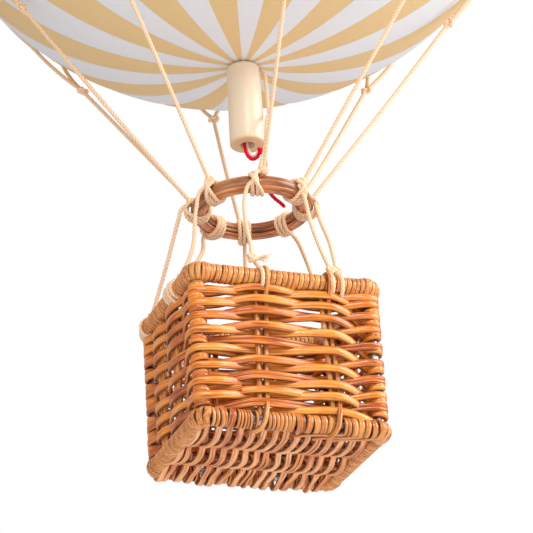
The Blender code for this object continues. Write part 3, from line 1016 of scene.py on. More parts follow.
def net_routes():
    """Zigzag cords that meet in diamonds all over the envelope's upper part."""
    lie = ENVELOPE_RADIUS + CORD_RADIUS * 0.9
    routes = []
    for column in range(2 * STAY_COUNT):
        base = LEG_START + LEG_SPREAD + column * 2 * LEG_SPREAD
        for side in (-1, 1):
            points = []
            for row in range((len(NET_ROWS) - 1) * 4 + 1):
                step, part = divmod(row, 4)
                low = NET_ROWS[step]
                high = NET_ROWS[min(step + 1, len(NET_ROWS) - 1)]
                swing = part / 4 if step % 2 == 0 else 1 - part / 4
                azimuth = base + side * LEG_SPREAD * swing
                points.append(on_envelope(lie, azimuth, low + (high - low) * part / 4))
            routes.append(even_steps(points, NET_STEP))
    return routes


def net_knots(tone):
    """A small knot wherever two cords of the net meet."""
    knots = []
    for row, latitude in enumerate(NET_ROWS):
        for column in range(2 * STAY_COUNT):
            azimuth = LEG_START + LEG_SPREAD * (1 + row % 2) + column * 2 * LEG_SPREAD
            place = on_envelope(ENVELOPE_RADIUS + CORD_RADIUS, azimuth, latitude)
            knots.append(bead(place, 1.0, tone))
    return knots


def bead(place, radius, tone):
    bm = bmesh.new()
    bmesh.ops.create_icosphere(bm, subdivisions=2, radius=radius)
    grain = bm.verts.layers.float_vector.new("grain")
    shade = bm.verts.layers.float.new("strand")
    for vert in bm.verts:
        vert[grain] = vert.co / radius
        vert[shade] = tone
    bmesh.ops.translate(bm, vec=place, verts=bm.verts)
    return bm


def crown_hoop():
    lie = ENVELOPE_RADIUS + CORD_RADIUS
    points = [on_envelope(lie, 10.0 * step, CROWN_HOOP_LATITUDE) for step in range(36)]
    return cord(smooth_route(points, 0.4, True), 0.8, closed=True)


def round_rod(turn, along, reach):
    """A point round the load ring's rod: its turn in degrees, from outside over the top."""
    angle = math.radians(turn)
    return Vector((reach * math.cos(angle), along, reach * math.sin(angle)))


def lashing_route(number):
    """A clove hitch round the load ring, pulled tight, whose first part leads up into the stay."""
    middle, foot, _ = STAYS[number]
    lie = RING_ROD + CORD_RADIUS - 0.05
    lead = RING_RADIUS * math.radians(foot - middle)
    side = math.copysign(1, lead)
    wide = side * HITCH_SPREAD
    stops = (
        # turn round the rod, place along it, reach from its middle
        (66, lead, lie + 1.0), (98, side * 1.0, lie + 0.1), (180, wide, lie), (270, wide, lie),
        (330, wide * 0.8, lie), (375, side * 0.2, lie + 0.55), (425, -wide * 0.8, lie + 0.1),
        (540, -wide, lie), (630, -wide, lie), (680, -side * 0.75, lie),
        (715, -side * 0.5, lie + 0.75), (750, side * 0.5, lie + 0.85),
        (785, side * 1.5, lie + 0.25), (850, side * 1.8, lie), (960, side * 1.75, lie),
        (1010, side * 1.6, lie + 0.1), (1045, side * 0.7, lie + 0.8),
        (1085, -side * 0.5, lie + 0.8), (1120, -side * 1.4, lie + 0.2))
    points = [round_rod(turn, along, reach) for turn, along, reach in stops]
    place = Matrix.Translation(seat_of(number)) @ Matrix.Rotation(math.radians(middle), 4, "Z")
    return smooth_route([place @ point for point in points], CORD_STEP)


def rim_tie(rim_x, rim_y, turns, hang, knot, tone):
    """Turns of cord round the top rim, the last of them hanging low, under a small knot."""
    rim = Vector((rim_x, rim_y, RIM_RISE))
    outward = rim_outward(rim)
    along = outward.cross(UP)
    lie = RIM_RADIUS + CORD_RADIUS * 0.8
    steps = 14
    points = [knot]
    for step in range(1, steps * turns + 1):
        turn = 2 * math.pi * step / steps + math.pi / 2
        slack = hang * max(0.0, step / (steps * turns) - 1 + 1 / turns) * turns
        rise = lie * math.sin(turn) - slack * max(0.0, -math.sin(turn))
        out = lie * math.cos(turn) + slack * 0.3 * max(0.0, math.cos(turn))
        shift = (step / steps - turns / 2) * 2 * CORD_RADIUS
        points.append(rim + outward * out + UP * rise + along * shift)
    loop = cord(smooth_route(points, CORD_STEP), tone=tone)
    facing = (outward + UP * 0.4).normalized()
    return [loop, overhand_knot(knot, facing, 2.0, tone)]


def rim_outward(point):
    """The level direction that leads out of the basket at a point of its rim."""
    corner = Vector((
        math.copysign(HALF_LENGTH - CORNER_RADIUS, point.x),
        math.copysign(HALF_DEPTH - CORNER_RADIUS, point.y), point.z))
    if abs(point.x) > abs(corner.x) and abs(point.y) > abs(corner.y):
        return (point - corner).normalized()
    if abs(point.y) / HALF_DEPTH > abs(point.x) / HALF_LENGTH:
        return Vector((0, math.copysign(1, point.y), 0))
    return Vector((math.copysign(1, point.x), 0, 0))


def frayed_tail(start, end, dice):
    """A cut cord end that has opened into fine yarns."""
    yarns = []
    for _ in range(9):
        spread = Vector([dice.uniform(-1, 1) for _ in range(3)])
        middle = start.lerp(end, 0.5) + spread * 0.3 + UP * 0.3
        route = smooth_route((start + spread * 0.2, middle, end + spread * 0.9), 0.35)
        sizes = [1 - 0.6 * step / len(route) for step in range(len(route))]
        yarns.append(strand(route, round_outline(6), 0.19, sizes=sizes, tone=dice.random()))
    return yarns


# ---- Basket ----


def basket_outline():
    """The rims' centreline, a rectangle with round corners, counted from the front's right end."""
    x = HALF_LENGTH - CORNER_RADIUS
    y = HALF_DEPTH - CORNER_RADIUS
    points = []
    for sx, sy, start in ((1, -1, -90), (1, 1, 0), (-1, 1, 90), (-1, -1, 180)):
        centre = Vector((sx * x, sy * y, 0))
        points += [centre + polar(CORNER_RADIUS, start + 90 * step / 8, 0) for step in range(9)]
    return points


def wall_line(wall):
    """A wall's middle, the way it runs, the way out and half its length, counted from the front."""
    turn = math.radians(90 * wall)
    run = Vector((math.cos(turn), math.sin(turn), 0))
    out = Vector((math.sin(turn), -math.cos(turn), 0))
    away = HALF_DEPTH if wall % 2 == 0 else HALF_LENGTH
    half = HALF_LENGTH if wall % 2 == 0 else HALF_DEPTH
    return out * away, run, out, half


def row_level(row, rows):
    """A row's height at the front's left post."""
    share = row / (rows - 1)
    turn = 2 * math.pi * share
    wave = ROW_WAVE * math.sin(turn) + ROW_SAG * (1 - math.cos(turn))
    return TOP_ROW + (LOW_ROW - TOP_ROW) * share + wave


def post_knots(post, run, out, level, outside, lean):
    """A row's way past a corner post: round its outside, or once right round it."""
    if outside:
        ways = (-run, (out - run).normalized(), out)
        return [post + way * OUTSIDE_REACH + UP * level for way in ways]
    knots = []
    for turn in (-15, 30, 75, 120, 165, 210, 255, 285):
        angle = math.radians(turn)
        way = run * math.cos(angle) + out * math.sin(angle)
        rise = level + lean * TURN_GAP * (0.5 - (turn + 15) / 300)
        knots.append(post + way * TURN_REACH + UP * rise)
    return knots


def pair_middle(pair, height):
    """Where along its wall a pair of stakes stands at a height, as the pair leans a little."""
    top, base, _ = pair
    share = (RIM_RISE - height) / (RIM_RISE - BASE_RISE)
    return top + (base - top) * share


def pairs_of(wall):
    """A wall's two pairs of stakes, which stand straight across from the opposite wall's."""
    pairs = SHORT_PAIRS if wall % 2 else LONG_PAIRS
    if wall < 2:
        return pairs
    return tuple((-top, -base, space) for top, base, space in reversed(pairs))


def weaver_knots(row, rows, thickness, dice):
    """One row's way round the basket, outside and inside of the stakes by turns."""
    pass_by = STAKE_RADIUS + thickness / 2 + 0.05
    level = row_level(row, rows)
    rises = ODD_RISES if row % 2 else EVEN_RISES

    def height(station):
        wanted = level + rises[station % 12] + dice.uniform(-ROW_JITTER, ROW_JITTER)
        return max(ROW_LIMITS[0], min(ROW_LIMITS[1], wanted))

    knots = []
    for wall in range(4):
        middle, run, out, half = wall_line(wall)
        post = middle - run * (half - POST_INSET) - out * POST_INSET
        station = wall * 3
        outside = (station + row) % 2 == 1
        knots += post_knots(post, run, out, height(station), outside, dice.choice((-1, 1)))
        for pair in pairs_of(wall):
            station += 1
            side = pass_by if (station + row) % 2 == 1 else -pass_by
            rise = height(station)
            along = pair_middle(pair, rise)
            for part in (-0.5, 0.5):
                reach = along + part * (pair[2] + 0.4)
                knots.append(middle + run * reach + out * side + UP * rise)
        past = (half - POST_INSET) - along
        ahead = height(station + 1) - rise
        climb = ahead * (0.25 if abs(ahead) > 1 else 0.5)
        knots.append(middle + run * (along + past * 0.45) + UP * (rise + climb) + out * side * 0.1)
    return knots


def uneven(count, low, high, dice):
    """Sizes that wander slowly between two limits, and meet at the ends."""
    marks = [dice.uniform(low, high) for _ in range(count // 14 + 1)]
    sizes = []
    for step in range(count):
        place, share = divmod(step * len(marks) / count, 1)
        share = share * share * (3 - 2 * share)
        sizes.append(marks[int(place)] * (1 - share) + marks[(int(place) + 1) % len(marks)] * share)
    return sizes


def weaver(route, height, thickness, closed=True, sizes=None, tone=0.5):
    """A reed that stands on edge along a level route."""
    return strand(
        route, reed_outline(), height / 2, thickness / 2, level_facing(route, closed), sizes=sizes,
        closed=closed, tone=tone)


def weavers(sizes):
    """Every row of the walls, some of two thinner reeds, and one of them joined on the front."""
    dice = random.Random(11)
    height = sizes.weaver_height / MM
    thickness = sizes.weaver_thickness / MM
    strands = []
    for row in range(sizes.weaver_rows):
        knots = weaver_knots(row, sizes.weaver_rows, thickness, dice)
        tone = ROW_TONES[row % len(ROW_TONES)]
        fine = row in FINE_ROWS
        own_height = height * (FINE_HEIGHT if fine else 1.0)
        own_thickness = thickness * (FINE_THICKNESS if fine else 1.0)
        for part in ((-0.5, 0.5) if fine else (0.0,)):
            route = smooth_route([knot + UP * part for knot in knots], WEAVER_STEP, True)
            closed = row != CUT_ROW
            if not closed:
                route = cut_open(route)
            wander = uneven(len(route), 0.86, 1.1, dice)
            strands.append(weaver(
                route, own_height, own_thickness, closed, wander, tone + dice.uniform(-0.06, 0.06)))
    strands.append(last_row(height, thickness))
    strands.append(first_row(height, thickness))
    return strands


def first_row(height, thickness):
    """The reed that runs inside all the stakes, right under the top rim."""
    inside = STAKE_RADIUS + thickness * 1.5 + 0.15
    shrink = Vector((1 - inside / HALF_LENGTH, 1 - inside / HALF_DEPTH, 0))
    inner = [point * shrink + UP * FIRST_ROW for point in rim_line(0.0, 0.6)]
    return weaver(inner, height, thickness, tone=0.12)


def cut_open(route):
    """A closed row cut on the front wall, its two ends overlapping one above the other."""
    front = [index for index, point in enumerate(route) if point.y <= FRONT_LIMIT]
    start = min(front, key=lambda index: abs(route[index].x - CUT_PLACE))
    opened = [point.copy() for point in route[start:] + route[:start + CUT_LAP]]
    for step in range(3 * CUT_LAP):
        share = 1 - step / (3 * CUT_LAP)
        opened[step] += Vector((0, 0.5, -0.55)) * share
        opened[-1 - step] += Vector((0, -0.35, 0.35)) * share
    return opened


def last_row(height, thickness):
    """The short reed under the last full row, from behind a pair of stakes to the right post."""
    near = -HALF_DEPTH - STAKE_RADIUS - thickness / 2
    far = -HALF_DEPTH + STAKE_RADIUS + thickness / 2
    route = smooth_route((
        (-19.5, far, -63.5), (-12.0, far, -63.5), (-7.4, far + 0.1, -63.5),
        (0.5, -HALF_DEPTH, -63.3), (8.0, near + 0.1, -62.9), (11.2, near, -62.85),
        (14.5, near + 0.1, -63.2), (18.2, near + 0.5, -64.1), (21.0, near + 1.2, -64.9)),
        WEAVER_STEP)
    return weaver(route, height, thickness, False, rounded_ends(len(route)), ROW_TONES[-1])


def level_facing(route, closed=True):
    """For each point of a level route, the way out of the basket."""
    facing = []
    last = len(route) - 1
    for index in range(len(route)):
        before = route[index - 1] if index or closed else route[0]
        after = route[(index + 1) % len(route)] if index < last or closed else route[last]
        facing.append((after - before).cross(UP).normalized())
    return facing


def stake_routes(wall):
    """A wall's four stakes. On the long walls one rod of each pair hooks over the top rim, and on
    the front wall over the base rim too.
    """
    middle, run, out, _ = wall_line(wall)
    low_hook = BASE_HOOK if wall == 0 else (BASE_HOOK[0], (0.0, 0.0, 0.0))

    def hooked(point, hook):
        return [point + out * away + UP * rise + run * back for away, rise, back in hook]

    routes = []
    for top, base, space in pairs_of(wall):
        for part in (-0.5, 0.5):
            head = middle + run * (top + part * space) + UP * RIM_RISE
            foot = middle + run * (base + part * space) + UP * BASE_RISE
            if wall % 2 or part < 0:
                route = smooth_route((foot, foot.lerp(head, 0.5), head), 1.0)
                routes.append((route, STRAIGHT_TONE))
            else:
                knots = hooked(foot, reversed(low_hook)) + hooked(head, TOP_HOOK)
                routes.append((smooth_route(knots, 0.5), HOOKED_TONE))
    return routes


def wrapped(
        line, lie, swell, width_at, pitch_at, thickness, dice, start=0.0, end=1.0, turn_steps=12):
    """Cane wound round a rim: a ribbon whose width and pitch follow its place along the rim.

    It lies a set way from the rim's line, and the swell further out at the corners.
    """
    total = len(line)
    spacing = (line[1] - line[0]).length
    at = start * total
    turn = dice.uniform(0, 6)
    route = []
    facing = []
    widths = []
    slack = 1.0
    while at < end * total - 1:
        share = at % 1
        here = line[int(at) % total]
        after = line[(int(at) + 1) % total]
        point = here.lerp(after, share)
        out = (after - here).normalized().cross(UP).normalized()
        way = out * math.cos(turn) + UP * math.sin(turn)
        route.append(point + way * (lie + swell * corner_share(point)) * slack)
        facing.append(way)
        widths.append(width_at(point))
        turn += 2 * math.pi / turn_steps
        at += pitch_at(point) / turn_steps / spacing
        slack += dice.uniform(-SLACK_STEP, SLACK_STEP) + (1.0 - slack) * 0.1
    return ribbon(route, facing, widths, thickness, dice)


def ribbon(route, facing, widths, thickness, dice):
    """A flat band whose width changes along its route, in a new tone every few steps."""
    every = 6
    marks = [0.35 + 0.4 * dice.random() for _ in range(len(route) // every + 2)]
    tones = []
    for station in range(len(route)):
        mark, share = divmod(station / every, 1)
        tones.append(marks[int(mark)] * (1 - share) + marks[int(mark) + 1] * share)
    return strand(
        route, cane_outline(), 0.5, thickness / 2, facing, sizes=widths, flat=True, tone=tones,
        along=distances(route))


def corner_share(point):
    """1 at the middle of a corner, 0 on the straight parts."""
    x = (abs(point.x) - (HALF_LENGTH - CORNER_RADIUS * CORNER_FADE)) / CORNER_RADIUS
    y = (abs(point.y) - (HALF_DEPTH - CORNER_RADIUS * CORNER_FADE)) / CORNER_RADIUS
    return max(0.0, min(1.0, min(x, y) * CORNER_FADE))


def rim_line(rise, spacing=0.4):
    """The rims' centreline in even steps, at a height."""
    line = basket_outline()
    return [point + UP * rise for point in even_steps(line + [line[0]], spacing, True)]


def top_rim(sizes):
    """A rod with cane wound round it, in wide bands on the long sides and narrow ones elsewhere."""
    dice = random.Random(5)
    wide = sizes.wrap_width / MM
    line = rim_line(RIM_RISE)
    stretch = {}

    def width_at(point):
        cell = int(point.x / 1.6) + 100 * int(point.y / 1.6)
        own = stretch.setdefault(cell, dice.uniform(0.86, 1.06))
        at_end = abs(point.x) > HALF_LENGTH - 1.0 or point.x > 15
        straight = wide * (END_BANDS if at_end else 1.0)
        return own * (straight + (CORNER_BANDS - straight) * corner_share(point))

    def pitch_at(point):
        return width_at(point) * (0.98 - 0.46 * corner_share(point)) + 0.03

    core = strand(line, round_outline(16), RIM_RADIUS - 0.5, closed=True, tone=0.3)
    wrap = wrapped(
        line, RIM_RADIUS - 0.16, 0.35, width_at, pitch_at, 0.8, dice, end=1.0 + RIM_OVERLAP)
    return [core, wrap]


def base_frame():
    return strand(rim_line(BASE_RISE), round_outline(16), 1.05, closed=True)


def base_band(x, width, slant, tone, side):
    """One turn of cane round the base rim's long side."""
    centre = Vector((x, side * HALF_DEPTH, BASE_RISE + WRAP_SAG))
    points = []
    for step in range(16):
        turn = 2 * math.pi * step / 16
        points.append(centre + Vector(
            (slant * math.sin(turn), WRAP_LIE * math.cos(turn), WRAP_LIE * math.sin(turn))))
    route = smooth_route(points, 0.5, True)
    facing = [(point - centre).normalized() for point in route]
    return strand(route, cane_outline(), width / 2, 0.38, facing, closed=True, tone=tone)


def base_wraps():
    """Cane round the base rim: counted bands on the long sides, fine cane on ends and corners."""
    dice = random.Random(8)
    line = rim_line(BASE_RISE + WRAP_SAG)
    bands = []
    for side in (-1, 1):
        for start, end, count in BASE_BANDS:
            step = (end - start) / count
            for number in range(count):
                x = -side * (start + step * (number + 0.5))
                slant = dice.uniform(-0.25, 0.25)
                bands.append(base_band(x, step * 0.97, slant, 0.05 + 0.45 * dice.random(), side))
    short = 2 * (HALF_DEPTH - CORNER_RADIUS)
    long = 2 * (HALF_LENGTH - CORNER_RADIUS)
    quarter = math.pi / 2 * CORNER_RADIUS
    around = 2 * (long + short) + 4 * quarter

    def width_at(point):
        return 0.95 + 0.8 * corner_share(point)

    def pitch_at(point):
        return width_at(point) * (1.0 - 0.42 * corner_share(point)) + 0.06

    for side in range(2):
        start = side * (long + short + 2 * quarter) / around
        end = start + (2 * quarter + short) / around
        bands.append(wrapped(
            line, WRAP_LIE, 0.3, width_at, pitch_at, 0.6, dice, start, end, turn_steps=14))
        part = line[int(start * len(line)):int(end * len(line))]
        bands.append(strand(part, round_outline(14), WRAP_LIE - 0.27, tone=0.1))
    return bands


def floor_strand_route(x, dice):
    """A strand from inside the front rim, round both cross rods and over the back rim's wire."""
    start = Vector((x, -HALF_DEPTH, BASE_RISE))
    points = [start + Vector(offset) for offset in FLOOR_START]
    for y, rise in FLOOR_RODS:
        side = dice.uniform(-0.3, 0.3)
        rod = Vector((x + side, y + dice.uniform(-0.4, 0.4), BASE_RISE + rise))
        points += [rod + Vector(offset) for offset in FLOOR_TURN]
    lean = dice.uniform(-0.5, 0.5)
    hang = dice.uniform(0.0, 0.7)
    wire = Vector((x + lean, HALF_DEPTH, BASE_RISE))
    over = (
        (-2.8, -2.5), (-0.6, -2.55 - hang), (1.1, -2.3 - hang), (2.2, -0.9), (2.0, 0.8),
        (0.4, 1.9), (-1.4, 1.2))
    points += [wire + Vector((0, along, rise)) for along, rise in over]
    return smooth_route(points, FLOOR_STRAND_STEP)


def rim_runners():
    """The loose ends under the front rim."""
    level = UP * (BASE_RISE + RUNNER_LEVEL)
    runners = []
    for offsets in RIM_RUNNERS:
        route = smooth_route([Vector(offset) + level for offset in offsets], FLOOR_STRAND_STEP)
        runners.append(strand(route, round_outline(8), 0.42, tone=0.7))
    return runners


def floor_facing(route):
    """For each point of a floor strand, the way out from the nearest rod, or down between rods."""
    centres = [(y, BASE_RISE + rise) for y, rise in FLOOR_RODS] + [(HALF_DEPTH, BASE_RISE - 0.3)]
    facing = []
    for point in route:
        ways = [Vector((0, point.y - y, point.z - z)) for y, z in centres]
        away = min(ways, key=lambda way: way.length)
        share = max(0.0, min(1.0, (2.7 - away.length) / 0.7))
        facing.append((away.normalized() * share - UP * (1 - share)).normalized())
    return facing


def floor_strands(sizes):
    """The floor's strands, some of them split in two."""
    dice = random.Random(21)
    strands = []
    for number in range(sizes.floor_strands):
        x = FLOOR_LEFT + FLOOR_STEP * number + dice.uniform(-0.15, 0.15)
        if number == 0:
            x += FIRST_STRAND_SHIFT
        tone = 0.2 + 0.8 * dice.random()
        split = number in SPLIT_STRANDS
        for part in ((-SPLIT_HALF, SPLIT_HALF) if split else (0.0,)):
            route = floor_strand_route(x + part, dice)
            width = SPLIT_HALF if split else dice.uniform(0.74, 0.9)
            strands.append(strand(
                route, reed_outline(), width, 0.42, floor_facing(route), tone=tone,
                sizes=rounded_ends(len(route))))
    return strands


def cross_rods():
    """The two rods that the floor's strands turn round."""
    rods = []
    for y, rise in FLOOR_RODS:
        points = [(side * (HALF_LENGTH - 0.6), y, BASE_RISE + rise) for side in (-1, 0, 1)]
        route = smooth_route(points, 1.2)
        rods.append(strand(route, round_outline(10), FLOOR_ROD_RADIUS, tone=0.6))
    return rods


def corner_posts():
    posts = []
    for sx, sy in ((-1, -1), (1, -1), (1, 1), (-1, 1)):
        foot = Vector((sx * (HALF_LENGTH - POST_INSET), sy * (HALF_DEPTH - POST_INSET), BASE_RISE))
        head = foot + UP * (RIM_RISE - BASE_RISE)
        posts.append(strand(even_steps([foot, head], 4.0), round_outline(14), POST_RADIUS))
    return posts


# ---- Operators ----


class BALLOON_OT_stage(bpy.types.Operator):
    """Lay the floor, hang the studio lights and set the camera"""

    bl_idname = "balloon.stage"
    bl_label = "Stage"

    def execute(self, context):
        set_camera(context.scene)
        lay_floor()
        for name, place, size, watts, aim in STUDIO_LIGHTS:
            add_light(name, place, size, watts, aim)
        set_world(context.scene)
        return {"FINISHED"}


def set_camera(scene):
    data = bpy.data.cameras.new("camera")
    data.lens = CAMERA_LENS
    data.sensor_width = 36.0
    data.clip_start = 0.01
    camera = bpy.data.objects.new("camera", data)
    scene.collection.objects.link(camera)
    turn = Matrix.Rotation(math.radians(-CAMERA_HEADING), 4, "Z")
    turn = turn @ Matrix.Rotation(math.radians(90 + CAMERA_PITCH), 4, "X")
    turn = turn @ Matrix.Rotation(math.radians(CAMERA_ROLL), 4, "Z")
    camera.matrix_world = Matrix.Translation(in_part(CAMERA_PLACE)) @ turn
    scene.camera = camera
    scene.view_settings.view_transform = "Standard"


def lay_floor():
    bm = bmesh.new()
    bmesh.ops.create_grid(bm, x_segments=2, y_segments=2, size=FLOOR_HALF)
    bmesh.ops.translate(bm, vec=(0, 0, (RING_LEVEL - FLOOR_DROP) * MM), verts=bm.verts)
    mesh = bpy.data.meshes.new("floor")
    bm.to_mesh(mesh)
    bm.free()
    mesh.materials.append(floor_look())
    floor = bpy.data.objects.new("floor", mesh)
    bpy.context.scene.collection.objects.link(floor)


def add_light(name, place, size, watts, aim):
    data = bpy.data.lights.new(name, "AREA")
    data.size = size * MM
    data.energy = watts
    light = bpy.data.objects.new(name, data)
    bpy.context.scene.collection.objects.link(light)
    start = Vector(in_part(place))
    turn = (Vector(in_part(aim)) - start).to_track_quat("-Z", "Y").to_matrix()
    light.matrix_world = Matrix.Translation(start) @ turn.to_4x4()


def set_world(scene):
    """White behind the object, a dimmer even light on it, and a warm white in its gloss."""
    world = bpy.data.worlds.new("studio")
    world.use_nodes = True
    tree = world.node_tree
    nodes = Nodes(tree)
    white = tree.nodes["Background"]
    nodes.feed(white.inputs["Color"], (1.0, 1.0, 1.0))
    seen = Shade(nodes, white.outputs[0])
    even = nodes.node("ShaderNodeBackground", inputs={"Color": AMBIENT})
    glint = nodes.node("ShaderNodeBackground", inputs={"Color": GLINT})
    glossy = nodes.node("ShaderNodeLightPath", output="Is Glossy Ray")
    direct = nodes.node("ShaderNodeLightPath", output="Is Camera Ray")
    lit = nodes.node("ShaderNodeMixShader", inputs={0: glossy, 1: even, 2: glint})
    shown = nodes.node("ShaderNodeMixShader", inputs={0: direct, 1: lit, 2: seen})
    nodes.feed(tree.nodes["World Output"].inputs["Surface"], shown)
    scene.world = world


class BALLOON_OT_crown(bpy.types.Operator):
    """Turn the brass cap with its eye and the hanging ring"""

    bl_idname = "balloon.crown"
    bl_label = "Crown fittings"

    def execute(self, context):
        brass = metal_look("brass", context.scene.balloon_colours.brass, 0.18)
        ring = wire_hoop(HANGER_RADIUS, HANGER_WIRE, 0.0, HANGER_RISE)
        finish("brass_hanging_ring", ring, brass, "hanger", ["hanging_ring"])
        eye = wire_hoop(EYE_RADIUS, EYE_WIRE, math.pi / 2, EYE_RISE)
        finish("brass_crown", gather([cap_shell(), eye]), brass, "balloon", ["crown_cap"])
        return {"FINISHED"}


class BALLOON_OT_envelope(bpy.types.Operator):
    """Shape the paper envelope and the tube under it"""

    bl_idname = "balloon.envelope"
    bl_label = "Envelope and tube"

    def execute(self, context):
        colours = context.scene.balloon_colours
        finish(
            "paper_envelope", envelope_shell(), paper_look(colours), "balloon",
            ["envelope"])
        finish(
            "cream_tube", tube_shell(), tube_look(colours), "balloon",
            ["appendix_tube"])
        return {"FINISHED"}


class BALLOON_OT_stays(bpy.types.Operator):
    """Run the eight stays, their knots and legs, and the net above them"""

    bl_idname = "balloon.stays"
    bl_label = "Stays and net"

    def execute(self, context):
        cotton = cotton_look("twisted_cotton", context.scene.balloon_colours.cotton)
        radius = context.scene.balloon_sizes.cord_diameter / MM / 2
        dice = random.Random(2)
        long_cords = []
        legs = []
        for number in range(STAY_COUNT):
            tone = dice.random()
            stay, *feet = stay_routes(number, dice)
            long_cords.append(cord(stay, radius, tone))
            legs += [cord(foot, radius, tone, sides=9) for foot in feet]
            facing = (knot_of(number) - UP * ENVELOPE_RISE).normalized()
            legs.append(overhand_knot(knot_of(number), facing, 2.5, tone, radius))
        long_cords.append(cord(keeper_route(), radius))
        stays = finish(
            "stay_cords", gather(long_cords), cotton,
            stands_for=numbered("stay", STAY_COUNT))
        in_part((0, 0, KNOT_RISE))
        in_part((0, 0, 1.5))
        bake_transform(stays)
        finish("crows_feet", gather(legs), cotton, "balloon")
        net = [
            strand(route, round_outline(6), radius * 0.9, tone=dice.random())
            for route in net_routes()]
        net += net_knots(0.5) + [crown_hoop()]
        finish("net", gather(net), cotton, "balloon")
        return {"FINISHED"}


class BALLOON_OT_valve_line(bpy.types.Operator):
    """Hang the red and white valve line out of the tube"""

    bl_idname = "balloon.valve_line"
    bl_label = "Valve line"

    def execute(self, context):
        colours = context.scene.balloon_colours
        red = cotton_look("red_cord", colours.signal)
        white = cotton_look("white_cord", WHITE_THREAD)
        route = smooth_route(VALVE_LINE, LEG_STEP)
        line = finish(
            "red_valve_line", cord(route, VALVE_LINE_RADIUS), red, "balloon",
            ["valve_line"])
        facing = Vector((0.3, -0.9, 0.2)).normalized()
        knot = finish(
            "valve_line_knot", overhand_knot(Vector(VALVE_KNOT), facing, 1.5, 0.5, 0.42), red,
            "balloon")
        inner_line = finish(
            "white_valve_line", cord(smooth_route(WHITE_LINE, LEG_STEP), VALVE_LINE_RADIUS),
            white, "balloon")
        length = distances(route)[-1] * MM
        in_part(VALVE_LINE[0])
        [in_part(point) for point in route]
        return {"FINISHED"}


class BALLOON_OT_load_ring(bpy.types.Operator):
    """Bend the rattan ring and lash the stays to it"""

    bl_idname = "balloon.load_ring"
    bl_label = "Load ring and lashings"

    def execute(self, context):
        colour = context.scene.balloon_colours.rattan
        rattan = plant_look(
            "bent_rattan", colour, light=(0.94, 0.46, 0.20), dark=darker(colour, 0.18), gloss=0.26,
            streak=0.6, painted_edge_shade=0.5, coat=0.5)
        line = [polar(RING_RADIUS, 360 * step / RING_POINTS, 0) for step in range(RING_POINTS)]
        ring = strand(
            line, grooved_outline(), RING_ROD, facing=[UP] * RING_POINTS, closed=True)
        finish("rattan_ring", ring, rattan, "load_hoop", ["load_ring"])
        cotton = bpy.data.materials["twisted_cotton"]
        dice = random.Random(17)
        hitches = []
        for number in range(STAY_COUNT):
            tone = dice.random()
            hitches += [cord(lashing_route(number), tone=tone), seat_knot(number, tone)]
        finish(
            "ring_lashings", gather(hitches), cotton, "load_hoop",
            numbered("ring_lashing", STAY_COUNT))
        return {"FINISHED"}


class BALLOON_OT_basket_cords(bpy.types.Operator):
    """Tie the basket's rim to the load ring"""

    bl_idname = "balloon.basket_cords"
    bl_label = "Basket cords"

    def execute(self, context):
        cotton = bpy.data.materials["twisted_cotton"]
        dice = random.Random(29)
        cords = []
        ties = []
        for (rim_x, rim_y), turns, hang, way in BASKET_CORDS:
            tone = dice.random()
            cords.append(cord(smooth_route(way, CORD_STEP), tone=tone))
            ties += rim_tie(rim_x, rim_y, turns, hang, Vector(way[-1]), tone)
        hanging = finish(
            "basket_cords", gather(cords), cotton,
            stands_for=numbered("basket_cord", len(BASKET_CORDS)))
        in_part((0, 0, -3))
        in_part((0, 0, RIM_RISE + 2))
        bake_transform(hanging)
        for end in TAIL_ENDS:
            ties += frayed_tail(Vector(TAIL_START), Vector(end), dice)
        finish("rim_ties", gather(ties), cotton, "basket")
        return {"FINISHED"}


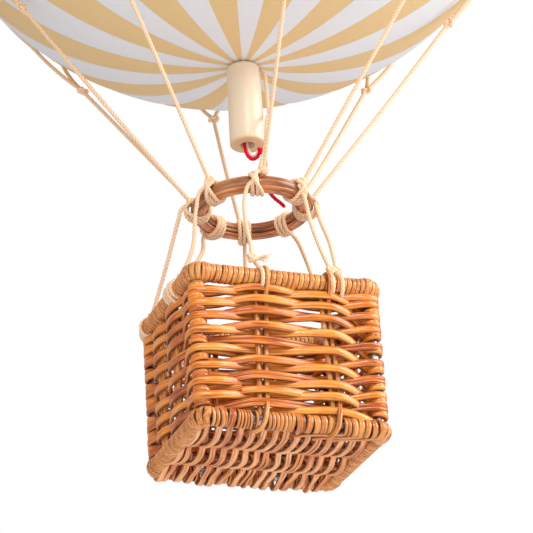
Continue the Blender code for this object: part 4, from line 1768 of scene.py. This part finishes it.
class BALLOON_OT_basket(bpy.types.Operator):
    """Weave the basket: wire frame, stakes, weavers, rims and floor"""

    bl_idname = "balloon.basket"
    bl_label = "Basket"

    def execute(self, context):
        sizes = context.scene.balloon_sizes
        colours = context.scene.balloon_colours
        reed = plant_look(
            "woven_reed", colours.reed, light=(0.98, 0.41, 0.065), dark=(0.34, 0.05, 0.004),
            gloss=0.22, streak=0.75, painted_edge_shade=0.38, coat=0.36)
        cane = plant_look(
            "wrapped_cane", colours.cane, light=(0.96, 0.47, 0.14), dark=(0.28, 0.05, 0.005),
            gloss=0.28, streak=0.8, painted_edge_shade=0.30, coat=0.4)
        dry = plant_look(
            "dry_reed", (0.78, 0.27, 0.075), light=(0.98, 0.50, 0.25), dark=(0.38, 0.075, 0.015),
            gloss=0.34, streak=0.9, painted_edge_shade=0.35, coat=0.1)
        zinc = metal_look("zinc_wire", colours.zinc, 0.25)
        walls = ["basket_wall_front", "basket_wall_right", "basket_wall_back", "basket_wall_left"]
        finish("wall_weavers", gather(weavers(sizes)), reed, "basket", walls)
        stakes = []
        dice = random.Random(6)
        for wall in range(4):
            for route, tone in stake_routes(wall):
                stakes.append(strand(
                    route, round_outline(10), STAKE_RADIUS, tone=tone + dice.uniform(-0.1, 0.1),
                    sizes=rounded_ends(len(route))))
        finish("wall_stakes", gather(stakes), cane, "basket")
        finish(
            "wrapped_top_rim", gather(top_rim(sizes)), cane, "basket",
            ["basket_top_rim"])
        finish("base_wire", base_frame(), zinc, "basket", ["basket_base_rim"])
        finish("base_wraps", gather(base_wraps()), cane, "basket")
        finish(
            "wire_posts", gather(corner_posts()), zinc, "basket",
            numbered("corner_post", 4))
        finish(
            "woven_floor", gather(floor_strands(sizes) + rim_runners()), dry,
            "basket", ["basket_floor"])
        finish("floor_rods", gather(cross_rods()), dry, "basket")
        return {"FINISHED"}


OPERATORS = (
    BALLOON_OT_stage, BALLOON_OT_crown, BALLOON_OT_envelope, BALLOON_OT_stays,
    BALLOON_OT_valve_line, BALLOON_OT_load_ring, BALLOON_OT_basket_cords, BALLOON_OT_basket)


class BALLOON_PT_panel(bpy.types.Panel):
    """The balloon's pieces, sizes and colours"""

    bl_label = "Balloon"
    bl_idname = "BALLOON_PT_panel"
    bl_space_type = "VIEW_3D"
    bl_region_type = "UI"
    bl_category = "Balloon"

    def draw(self, context):
        for operator in OPERATORS:
            self.layout.operator(operator.bl_idname)
        for group in (context.scene.balloon_sizes, context.scene.balloon_colours):
            for name in group.__annotations__:
                self.layout.prop(group, name)


CLASSES = (BalloonSizes, BalloonColours, *OPERATORS, BALLOON_PT_panel)


def register():
    for item in CLASSES:
        bpy.utils.register_class(item)
    bpy.types.Scene.balloon_sizes = PointerProperty(type=BalloonSizes)
    bpy.types.Scene.balloon_colours = PointerProperty(type=BalloonColours)


def unregister():
    del bpy.types.Scene.balloon_colours
    del bpy.types.Scene.balloon_sizes
    for item in reversed(CLASSES):
        bpy.utils.unregister_class(item)


def main():
    register()
    bpy.ops.balloon.stage()
    bpy.ops.balloon.crown()
    bpy.ops.balloon.envelope()
    bpy.ops.balloon.stays()
    bpy.ops.balloon.valve_line()
    bpy.ops.balloon.load_ring()
    bpy.ops.balloon.basket_cords()
    bpy.ops.balloon.basket()


if __name__ == "__main__":
    main()
